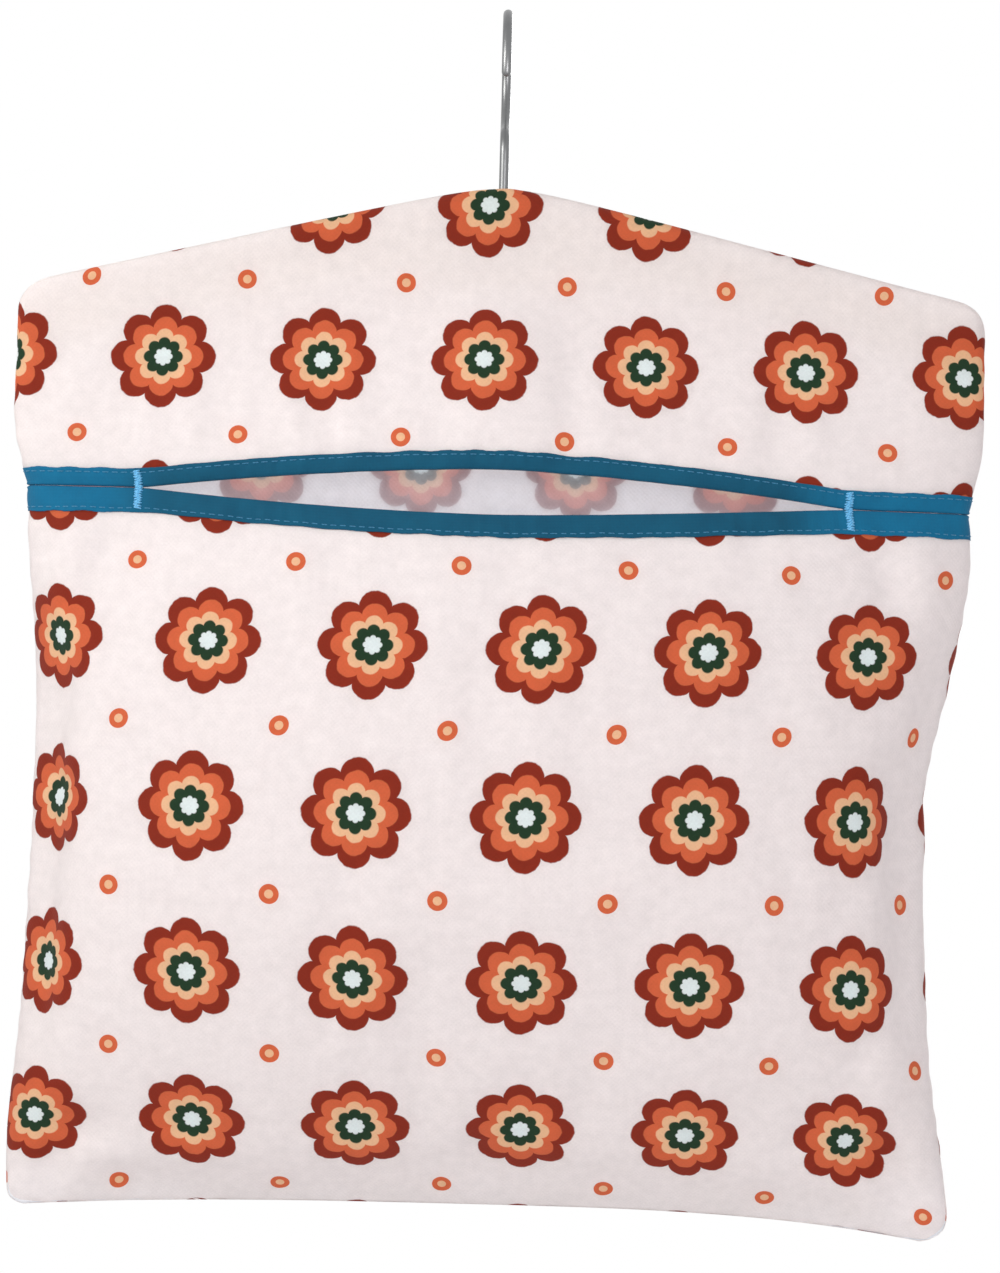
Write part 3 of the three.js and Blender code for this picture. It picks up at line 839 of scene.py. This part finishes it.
def steel(name, dark, light, stretch):
    """Drawn or turned steel: fine lines along the stretch and a faint uneven tarnish."""
    material, tree, shader = new_material(name)
    where = node(tree, "TexCoord").outputs["Object"]
    lines = noise(tree, stretched(tree, where, stretch), scale=1.0, detail=3.0)
    tarnish = noise(tree, where, scale=70.0, detail=3.0)
    look = {
        "Base Color": mixed(tree, tarnish, colour(dark), colour(light)),
        "Roughness": scaled(tree, lines, times=0.16, plus=0.28),
        "Normal": bump(tree, lines, strength=0.15, distance=0.05),
        "Metallic": 1.0,
    }
    set_inputs(tree, shader, look)
    return material


print_outside = printed_cotton("printed_cotton", fade=0.0)
print_inside = printed_cotton("printed_cotton_wrong_side", fade=0.76)
tape_material = tape_cotton()
# Each thread's dark and light colours are its painted shade and painted light along the twist
tack_thread = thread("tack_thread", "#3f97cb", "#74c0ea")
tape_thread = thread("tape_thread", "#14648a", "#2f86ad")
seam_thread = thread("seam_thread", "#d9d0c8", "#f4eee8")

# Cloth panels


def cloth_piece(node_name, panel):
    grid = panel.grid
    ids = np.arange(grid.shape[0] * grid.shape[1]).reshape(grid.shape[:2])
    obj = new_mesh(node_name + "_cloth", grid.reshape(-1, 3), grid_faces(ids, panel.side == BACK))
    set_uv(obj, panel.flat.reshape(-1, 2))
    solid = obj.modifiers.new("cloth thickness", "SOLIDIFY")
    solid.thickness = CLOTH * MM
    solid.offset = -1.0
    solid.material_offset = 1
    return finish_piece(obj, "bag", "printed_cotton", (print_outside, print_inside), node_name)


yoke_panel = Panel(yoke_ids, front_flat[:YOKE_ROWS + 1], FRONT, hemmed=False, shift=(5.0, 12.0))
pocket_panel = Panel(pocket_ids, front_flat[YOKE_ROWS + 1:], FRONT, hemmed=True, shift=(-14.0, 3.0))
back_panel = Panel(back_ids, back_flat, BACK, hemmed=True, shift=(25.0, -8.0))
yoke = cloth_piece("front_yoke", yoke_panel)
pocket = cloth_piece("front_pocket", pocket_panel)
back = cloth_piece("back_panel", back_panel)

# Threads and lofts

UPRIGHT = 0.9


def bar_faces(ids):
    """Faces of a closed bar, with capped ends, from the point numbers of its rings."""
    turned = np.roll(ids, -1, axis=1)
    quads = np.stack([ids[:-1], turned[:-1], turned[1:], ids[1:]], axis=-1).reshape(-1, 4)
    return [whole(quad) for quad in quads] + [whole(ids[0][::-1]), whole(ids[-1])]


def bar_flat(along, around):
    """Places on the flat map for each point of a bar's rings."""
    return np.stack(np.broadcast_arrays(along[:, None], around[None, :]), axis=-1).reshape(-1, 2)


def bars(name, all_rings, flats):
    """One mesh of closed bars, each from its own rings of points and its own flat map."""
    faces = []
    start = 0
    for rings in all_rings:
        count, size = rings.shape[:2]
        faces += bar_faces(start + np.arange(count * size).reshape(count, size))
        start += count * size
    obj = new_mesh(name, np.concatenate([rings.reshape(-1, 3) for rings in all_rings]), faces)
    set_uv(obj, np.concatenate(flats))
    return obj


def loft(name, rings, around):
    """A closed bar from rings of points; around holds each ring point's place round the section."""
    return bars(name, [rings], [bar_flat(lengths(rings.mean(axis=1)), around)])


def tube_rings(line, radii, sides):
    """Rings round a line of points, carried along it without twist."""
    tangents = unit(np.gradient(line, axis=0))
    helper = np.array([0.0, 0.0, 1.0]) if abs(tangents[0, 2]) < UPRIGHT else np.array([1.0, 0.0, 0.0])
    normal = unit(np.cross(tangents[0], helper))
    angles = np.arange(sides) * 2 * np.pi / sides
    rings = []
    for point, tangent, radius in zip(line, tangents, radii):
        normal = unit(normal - tangent * (normal @ tangent))
        other = np.cross(tangent, normal)
        rings.append(point + radius * (np.cos(angles)[:, None] * normal + np.sin(angles)[:, None] * other))
    return np.array(rings)


def threads(name, lines, radius, sides=6):
    """One mesh of round threads, each along its own line, with a map along and around them."""
    tubes = [tube_rings(line, np.full(len(line), radius), sides) for line in lines]
    return bars(name, tubes, [bar_flat(lengths(line), np.arange(sides) / sides) for line in lines])


# Bindings

END_PRESSED = 0.35
END_REACH = 8.0


class Lip:
    """The bound edge of a panel: gives places by distance from the raw edge and height above the cloth."""

    DEPTH = 12

    def __init__(self, panel, rows, tape_width):
        self.tape_width = tape_width
        self.grid = panel.grid[rows]
        self.normals = panel.normals[rows]
        self.columns = self.grid.shape[1]
        self.edge = self.grid[0]

    def column_at(self, x):
        return float(np.interp(x, self.edge[:, 0], np.arange(self.columns)))

    def pressed(self, column):
        """Share of its height that the tape keeps where it is sewn into the side seams."""
        x = np.interp(column, np.arange(self.columns), self.edge[:, 0])
        from_end = np.minimum(x - self.edge[0, 0], self.edge[-1, 0] - x)
        return END_PRESSED + (1.0 - END_PRESSED) * smooth(from_end / END_REACH)

    def place(self, column, distance, height):
        """Points at distances from the edge, negative beyond it, and heights along the outward normal."""
        low = min(int(column), self.columns - 2)
        share = column - low
        line = self.grid[:, low] * (1.0 - share) + self.grid[:, low + 1] * share
        normal = self.normals[:, low] * (1.0 - share) + self.normals[:, low + 1] * share
        run = lengths(line)
        distance = np.asarray(distance, dtype=float)
        onto = along_line(distance, run, line)
        up = unit(along_line(distance, run, normal))
        inward = unit(line[1] - line[0])
        onto = onto + np.minimum(distance, 0.0)[:, None] * inward
        return onto + up * np.asarray(height, dtype=float)[:, None]


# Section of the folded tape
CROWN_POWER = 0.6
STITCH_DIP = 0.22
STITCH_DIP_REACH = 0.5
EDGE_ROUND = 0.15
EDGE_SWELL = 0.1
FOLD_START = 0.3
FOLD_SWELL = 0.06
RAW_CLEAR = 0.2


def tape_height(distance, width):
    """Height of the tape's outer face: crowned, with the line of stitches drawn in."""
    crown = TAPE_CROWN * np.sin(np.pi * np.clip(distance / width, 0.0, 1.0)) ** CROWN_POWER
    stitched = STITCH_DIP * np.exp(-(((distance - width + TAPE_STITCH) / STITCH_DIP_REACH) ** 2))
    return TAPE_GAP + TAPE + crown - stitched


def tape_section(width):
    """Places round the folded tape as distance from the raw edge and height above the cloth's outside."""
    outer = np.linspace(width - EDGE_ROUND, FOLD_START, num=11)
    bend = np.linspace(np.pi / 2, -np.pi / 2, num=9)[1:-1]
    inner_width = width - TAPE_INNER_SHORT
    inner = np.linspace(FOLD_START, inner_width, num=5)
    under = -CLOTH - TAPE_GAP
    loop = [(width, TAPE_GAP), (width + EDGE_SWELL, TAPE_GAP + TAPE / 2)]
    loop += [(d, tape_height(d, width)) for d in outer]
    loop += [(-NOSE * math.cos(a), -CLOTH / 2 + (NOSE + FOLD_SWELL) * math.sin(a)) for a in bend]
    loop += [(d, under - TAPE) for d in inner]
    loop += [(inner_width, under), (RAW_CLEAR, under), (RAW_CLEAR, TAPE_GAP)]
    return np.array(loop)


# Tape along the lip: its uneven crown, the waver of its free edge and its stitches
END_COLUMNS = 0.5
TAPE_RINGS = 321
SWELL = 0.2
SWELL_RATE = 1.7
FREE_EDGE = 1.3
WAVER = 0.2
WAVER_RATE = 0.9
WAVER_START = 8.0
STITCH_LENGTH = 2.3
STITCH_PITCH = 2.9
STITCH_RISE = np.array([-0.25, 0.08, 0.13, 0.08, -0.25])
STITCH_THREAD = 0.19
FIRST_STITCH = 2.0
LAST_STITCH = 4.0


def tape_rings(lip, places, columns, stagger):
    """Rings of the folded tape along a lip, from the places round its section."""
    distance, height = places[:, 0], places[:, 1]
    rings = []
    for column in columns:
        x = lip.edge[int(column), 0] + stagger
        swell = 1.0 + SWELL * ripple(SWELL_RATE * x)
        crowned = TAPE_GAP + (height * swell - TAPE_GAP) * lip.pressed(column)
        heights = np.where(height > TAPE_GAP + TAPE, crowned, height)
        waver = WAVER * ripple(WAVER_RATE * x + WAVER_START)
        widths = distance + np.where(distance > lip.tape_width - FREE_EDGE, waver, 0.0)
        rings.append(lip.place(column, widths, heights))
    return np.array(rings)


def tape_stitches(lip, columns, stagger):
    """Lines of the stitches that sew the tape down, each dipping into it at both ends."""
    sewn_at = lip.tape_width - TAPE_STITCH
    run = lengths(np.array([lip.place(c, [sewn_at], [0.0])[0] for c in columns]))
    sewn = tape_height(sewn_at, lip.tape_width) - TAPE_GAP
    lines = []
    for start in np.arange(FIRST_STITCH + stagger, run[-1] - LAST_STITCH, STITCH_PITCH):
        along = start + STITCH_LENGTH * np.linspace(0.0, 1.0, len(STITCH_RISE))
        along = np.interp(along, run, columns)
        rise = STITCH_RISE + TAPE_GAP + sewn * lip.pressed(along)
        lines.append(np.array([lip.place(c, [sewn_at], [h])[0] for c, h in zip(along, rise)]))
    return lines


def binding(node_name, lip, stagger):
    """A tape folded over a lip, and its stitches."""
    name = node_name + "_tape"
    places = tape_section(lip.tape_width)
    around = lengths(np.concatenate([places, places[:1]]))[:-1]
    columns = np.linspace(END_COLUMNS, lip.columns - 1 - END_COLUMNS, TAPE_RINGS)
    tape = loft(name, tape_rings(lip, places, columns, stagger), around)
    finish_piece(tape, "bag", "binding_cotton", (tape_material,), node_name)
    stitches = threads(name + "_stitches", tape_stitches(lip, columns, stagger), STITCH_THREAD)
    finish_piece(stitches, "bag", "binding_cotton", (tape_thread,))


upper_lip = Lip(yoke_panel, slice(-1, -2 - Lip.DEPTH, -1), YOKE_TAPE_WIDTH)
lower_lip = Lip(pocket_panel, slice(0, Lip.DEPTH + 1), POCKET_TAPE_WIDTH)
binding("yoke_binding", upper_lip, stagger=0.0)
binding("pocket_binding", lower_lip, stagger=1.1)

# Bar tacks

TACK_PASSES = 30
TACK_THREAD = 0.27
TACK_EDGE = 0.8
TACK_UNEVEN = 0.08
TACK_REACH_TURN = 5.1
TACK_WANDER = 0.08
TACK_WANDER_TURN = 2.4
THROUGH_THREADS = 5
THROUGH_PITCH = 0.5
THROUGH_HEIGHT = 0.2

# One pass of the thread: share of the way across from the middle, and lift above the tape
TACK_PASS = [(-1.0, -0.35), (-0.6, 0.2), (0.0, 0.3), (0.6, 0.2)]


def tack_place(x, height, face, lift):
    """A place on the front or back of the bindings, above or below the line between them."""
    lip = upper_lip if height > 0.0 else lower_lip
    away = abs(height) - NOSE
    rise = -CLOTH - TAPE_GAP - TAPE
    if face > 0.0:
        rise = tape_height(np.array(max(away, TACK_EDGE)), lip.tape_width)
    return lip.place(lip.column_at(x), [away], [rise + face * lift])[0]


def bar_tack(which, sign):
    """Close zigzag stitches over both bindings, in front and behind, drawn through between them."""
    middle_x = LEFT_TACK_X if sign < 0.0 else RIGHT_TACK_X
    step = TACK_HEIGHT / TACK_PASSES
    lines = []
    for face in (1.0, -1.0):
        zigzag = []
        for k in range(TACK_PASSES):
            start = (k - (TACK_PASSES - 1) / 2) * step - TACK_DROP
            way = 1.0 if k % 2 else -1.0
            reach = TACK_WIDTH / 2 * (1.0 + TACK_UNEVEN * math.sin(TACK_REACH_TURN * k + sign))
            wander = TACK_WANDER * math.sin(TACK_WANDER_TURN * k)
            for share, lift in TACK_PASS:
                height = start + (share + 1.0) / 2 * step + wander
                zigzag.append(tack_place(middle_x + way * share * reach, height, face, lift))
        lines.append(np.array(zigzag))
    for k in range(THROUGH_THREADS):
        x = middle_x + (k - (THROUGH_THREADS - 1) / 2) * THROUGH_PITCH
        ends = [tack_place(x, THROUGH_HEIGHT, face, 0.0) for face in (1.0, -1.0)]
        lines.append(np.linspace(ends[0], ends[1], num=4))
    tack = threads(which + "_tack_stitches", lines, TACK_THREAD, sides=8)
    finish_piece(tack, "bag", "tack_thread", (tack_thread,), which + "_bar_tack")


bar_tack("left", -1.0)
bar_tack("right", 1.0)

# Seam allowances, oversewn

SEAM_STEPS = 61
SEAM_ROOM = 1.9
ALLOWANCE_WIDTHS = np.linspace(0.0, SEAM_WIDTH, num=6)
LAYER_GAP = 0.04
LAYER_WAVE = 0.12
LAYER_STAGGER = 13.0
EDGE_UNEVEN = 0.03
EDGE_RATE = 0.6
EDGE_START = 5.0
HEM_SIDE_INSET = 8.0
NECK_HALF = 4.3
RIDGE_CLEAR = 1.3

# Oversewing: the thread goes over, through, under and back through the edge, again and again
OVERSEW_PITCH = 3.0
OVERSEW_BITE = 2.8
OVERSEW_OVERHANG = 0.35
OVERSEW_CLEAR = 0.3
OVERSEW_THREAD = 0.17
OVERSEW_END = 0.5
OVERSEW_LEVELS = (0.0, 1.0, 0.0, -1.0)


def layer_rings(layer, sewn, across, thickness, run):
    """Rings of one layer of an allowance, along the sewn line and across to the free edge."""
    wave = LAYER_WAVE * layer * (1.0 + ripple(run + LAYER_STAGGER * layer))
    free = ALLOWANCE_WIDTHS * (1.0 + EDGE_UNEVEN * ripple(EDGE_RATE * run + EDGE_START))[:, None]
    lift = layer * (LAYER_GAP + SEAM_LAYER / 2) + wave[:, None] * (ALLOWANCE_WIDTHS / SEAM_WIDTH) ** 2
    middle = sewn[:, None] + across[:, None] * free[..., None]
    low = middle + thickness[:, None] * (lift - SEAM_LAYER / 2)[..., None]
    high = middle + thickness[:, None] * (lift + SEAM_LAYER / 2)[..., None]
    return np.concatenate([low, high[:, ::-1]], axis=1)


def oversewing(edge, inward, sewn, across, thickness, run):
    """The line of the thread along one edge of an allowance."""
    turns = np.arange(int(run[-1] / OVERSEW_PITCH) * len(OVERSEW_LEVELS) + 1)
    along = np.linspace(OVERSEW_END, run[-1] - OVERSEW_END, len(turns))
    point, way, up = [along_line(along, run, line) for line in (sewn, across, thickness)]
    level = np.array(OVERSEW_LEVELS)[turns % len(OVERSEW_LEVELS)] * (SEAM_LAYER + OVERSEW_CLEAR)
    over = edge + inward * np.where(turns % 2, OVERSEW_BITE, -OVERSEW_OVERHANG)
    return point + way * over[:, None] + up * level[:, None]


def allowance(which, sewn, across, thickness, both_edges):
    """Two layers of cloth from the sewn line across to their free edge, oversewn along it."""
    name = which + "_allowance"
    run = lengths(sewn)
    seam = (sewn, across, thickness, run)
    around = np.concatenate([ALLOWANCE_WIDTHS, ALLOWANCE_WIDTHS[::-1] + SEAM_WIDTH])
    layers = [layer_rings(layer, *seam) for layer in (-1.0, 1.0)]
    obj = bars(name, layers, [bar_flat(run, around)] * len(layers))
    finish_piece(obj, "bag", "printed_cotton", (print_inside,), which + "_seam")
    edges = [(SEAM_WIDTH, -1.0)] + ([(0.0, 1.0)] if both_edges else [])
    lines = [oversewing(edge, inward, *seam) for edge, inward in edges]
    stitches = threads(name + "_stitches", lines, OVERSEW_THREAD, sides=5)
    finish_piece(stitches, "bag", "seam_thread", (seam_thread,))


def same(*vector):
    """The same vector at each step of a seam."""
    return np.tile(np.array(vector, dtype=float), (SEAM_STEPS, 1))


def hem_room_rise(s):
    """How far above the hem both sides of the bag stand out far enough for an allowance between them."""
    deepest = min(FRONT_BULGE, BACK_BULGE) * section(s, OVAL_POWER)
    past = np.sqrt(1.0 - (SEAM_ROOM / deepest) ** (1.0 / HEM_TAPER))
    return (1.0 - past) * (1.0 - FULLEST) * (roof_z(s) - hem_z(s))


def side_allowance(which, sign):
    at_seam = sign * (1.0 - SEAM_INSET / HEM_HALF)
    low = float(hem_z(at_seam) + hem_room_rise(at_seam))
    z = np.linspace(SHOULDER_Z - SHOULDER_RADIUS - HANGER_ARM_DEPTH, low, SEAM_STEPS)
    x = cloth_point(FRONT, sign, z)[:, 0] - sign * SEAM_INSET
    sewn = np.stack([x, np.zeros(SEAM_STEPS), z], axis=-1)
    allowance(which, sewn, same(-sign, 0, 0), same(0, 1, 0), both_edges=False)


def hem_allowance():
    half = HEM_HALF - HEM_SIDE_INSET
    reach = 1.0 - 2 * SEAM_WIDTH / half
    s = np.linspace(-reach, reach, SEAM_STEPS)
    sewn = np.stack([s * half, np.zeros(SEAM_STEPS), hem_z(s) + hem_room_rise(s)], axis=-1)
    allowance("hem", sewn, same(0, 0, 1), same(0, 1, 0), both_edges=False)


def shoulder_allowance(which, sign):
    x = np.linspace(NECK_HALF, RIDGE_HALF, SEAM_STEPS)
    z = roof_z(x / RIDGE_HALF) - CLOTH - RIDGE_CLEAR
    sewn = np.stack([sign * x, np.full(SEAM_STEPS, -SEAM_WIDTH / 2), z], axis=-1)
    tangent = unit(np.gradient(sewn, axis=0))
    up = unit(np.cross(tangent, same(0, sign, 0)) * -1.0)
    allowance(which, sewn, same(0, 1, 0), up, both_edges=True)


side_allowance("left_side", -1.0)
side_allowance("right_side", 1.0)
hem_allowance()
shoulder_allowance("left_shoulder", -1.0)
shoulder_allowance("right_shoulder", 1.0)

# Hook, hanger and washer

TIP_END = 0.02
WIRE_SIDES = 24

# Riveted head: height above its foot, and share of its radius
HEAD_PROFILE = [(0.0, 0.6), (0.15, 0.7), (1.2, 1.0), (1.9, 1.0)]


def arc(y, z, radius, start, end, steps):
    """Points of an arc in the plane of the hook, after its first."""
    angles = np.linspace(start, end, steps)[1:]
    return [(y + radius * math.cos(a), z + radius * math.sin(a)) for a in angles]


def hook_wire():
    """One wire: riveted head, shank, bend to the back, and the bow over to its rounded tip in front."""
    head_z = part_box("hook")[0][2] / MM
    apart = BOW_RADIUS + NECK_RADIUS
    neck_z = BOW_Z - math.sqrt(apart ** 2 - NECK_RADIUS ** 2)
    turn = math.acos(NECK_RADIUS / apart)
    shank = [(0.0, z) for z in np.linspace(head_z + HEAD_HEIGHT, neck_z, num=24)]
    neck = arc(NECK_RADIUS, neck_z, NECK_RADIUS, math.pi, math.pi - turn, steps=14)
    bow = arc(0.0, BOW_Z, BOW_RADIUS, -turn, TIP_ANGLE, steps=72)
    wire = np.array([(0.0, y, z) for y, z in shank + neck + bow])
    tip_way = np.array([0.0, -math.sin(TIP_ANGLE), math.cos(TIP_ANGLE)])
    ends = np.linspace(0.0, math.pi / 2, num=7)[1:]
    tip = [wire[-1] + tip_way * WIRE_RADIUS * math.sin(a) for a in ends]
    head = np.array([(0.0, 0.0, head_z + height) for height, _ in HEAD_PROFILE])
    head_radii = [share * HEAD_RADIUS for _, share in HEAD_PROFILE]
    tip_radii = [max(TIP_END, WIRE_RADIUS * math.cos(a)) for a in ends]
    radii = np.concatenate([head_radii, np.full(len(wire), WIRE_RADIUS), tip_radii])
    rings = tube_rings(np.concatenate([head, wire, tip]), radii, WIRE_SIDES)
    return loft("hook_wire", rings, np.arange(WIRE_SIDES) * 2 * math.pi * WIRE_RADIUS / WIRE_SIDES)


hook_steel = steel("hook_steel", "#696a6b", "#8a8b8c", stretch=(900.0, 900.0, 40.0))
finish_piece(hook_wire(), "hook", "hook_steel", (hook_steel,), "hook")
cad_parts["hanger_bar"].material_slots[0].material = beech()
washer_steel = steel("washer_steel", "#9fa1a2", "#b6b8b8", stretch=(900.0, 900.0, 900.0))
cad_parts["hook_washer"].material_slots[0].material = washer_steel

# Studio: pale floor below, white all round, soft light from the left, the front and behind

FLOOR_Z = -0.6
FLOOR_RADIUS = 0.75
FLOOR_SIDES = 96
PURE_WHITE = (1.0, 1.0, 1.0, 1.0)
LIGHT_TARGET = Vector((0.0, 0.0, -0.2))


def floor():
    """A pale round floor that fades into the white behind it towards its rim."""
    turns = np.arange(FLOOR_SIDES) * 2 * np.pi / FLOOR_SIDES
    rim = [(FLOOR_RADIUS * math.cos(a), FLOOR_RADIUS * math.sin(a), FLOOR_Z) for a in turns]
    obj = new_mesh("floor", np.array(rim) / MM, [tuple(range(FLOOR_SIDES))])
    material, tree, shader = new_material("floor")
    set_inputs(tree, shader, {"Base Color": (0.88, 0.88, 0.88, 1.0), "Roughness": 0.9})
    where = node(tree, "TexCoord").outputs["Object"]
    flat = node(tree, "VectorMath", {0: where, 1: (1.0, 1.0, 0.0)}, operation="MULTIPLY").outputs[0]
    out = node(tree, "VectorMath", {0: flat}, operation="LENGTH").outputs["Value"]
    fade = {"Value": out, "From Max": FLOOR_RADIUS, "To Min": 0.55}
    far = node(tree, "MapRange", fade, interpolation_type="SMOOTHSTEP")
    seen = maths(tree, "MULTIPLY", node(tree, "LightPath").outputs["Is Camera Ray"], far.outputs[0])
    glow = node(tree, "Emission", {"Color": PURE_WHITE})
    pale = node(tree, "MixShader", {0: seen, 1: shader.outputs[0], 2: glow.outputs[0]})
    tree.links.new(pale.outputs[0], tree.nodes["Material Output"].inputs["Surface"])
    obj.data.materials.append(material)


def surroundings():
    """White to the camera and to clear or glossy rays, and a softer light to all others."""
    world = bpy.data.worlds.new("studio")
    bpy.context.scene.world = world
    world.use_nodes = True
    tree = world.node_tree
    tree.nodes.clear()
    path = node(tree, "LightPath").outputs
    seen = maths(tree, "MAXIMUM", path["Is Camera Ray"], path["Is Glossy Ray"])
    seen = maths(tree, "MAXIMUM", seen, path["Is Transmission Ray"])
    ambient = node(tree, "Background", {"Color": (1.0, 0.975, 0.995, 1.0), "Strength": 0.485})
    white = node(tree, "Background", {"Color": PURE_WHITE, "Strength": 1.0})
    sky = node(tree, "MixShader", {0: seen, 1: ambient.outputs[0], 2: white.outputs[0]})
    node(tree, "OutputWorld", {"Surface": sky.outputs[0]})


def area_light(name, place, size, power, tint):
    light = bpy.data.lights.new(name, "AREA")
    light.shape = "DISK"
    light.size = size
    light.energy = power
    light.color = tint
    obj = bpy.data.objects.new(name, light)
    obj.location = place
    obj.rotation_euler = (LIGHT_TARGET - obj.location).to_track_quat("-Z", "Y").to_euler()
    bpy.context.scene.collection.objects.link(obj)


floor()
surroundings()
area_light("key", place=(-0.68, -0.48, 0.23), size=0.5, power=4.9, tint=(1.0, 0.985, 0.945))
area_light("front", place=(0.45, -1.43, -0.14), size=0.5, power=7.6, tint=(1.0, 0.975, 0.985))
area_light("back", place=(0.8, 1.5, 0.25), size=0.9, power=16.0, tint=(1.0, 0.99, 0.98))

# Camera: square on, turned a little, as the bag hangs slightly askew in the picture

FRAME_WIDTH = 0.3076
TARGET = Vector((0.0025, -0.012, -0.1921))
UPRIGHT_TURN = Matrix.Rotation(math.radians(90.0), 4, "X")
ASKEW_TURN = Matrix.Rotation(math.radians(1.5), 4, "Z")
camera = bpy.data.cameras.new("camera")
camera.lens = 100.0
camera.sensor_fit = "HORIZONTAL"
camera.sensor_width = 36.0
eye = bpy.data.objects.new("camera", camera)
bpy.context.scene.collection.objects.link(eye)
bpy.context.scene.camera = eye
distance = FRAME_WIDTH * camera.lens / camera.sensor_width
eye.location = TARGET + Vector((0.0, -distance, 0.0))
eye.rotation_euler = (UPRIGHT_TURN @ ASKEW_TURN).to_euler()

bpy.context.scene.view_settings.view_transform = "Standard"
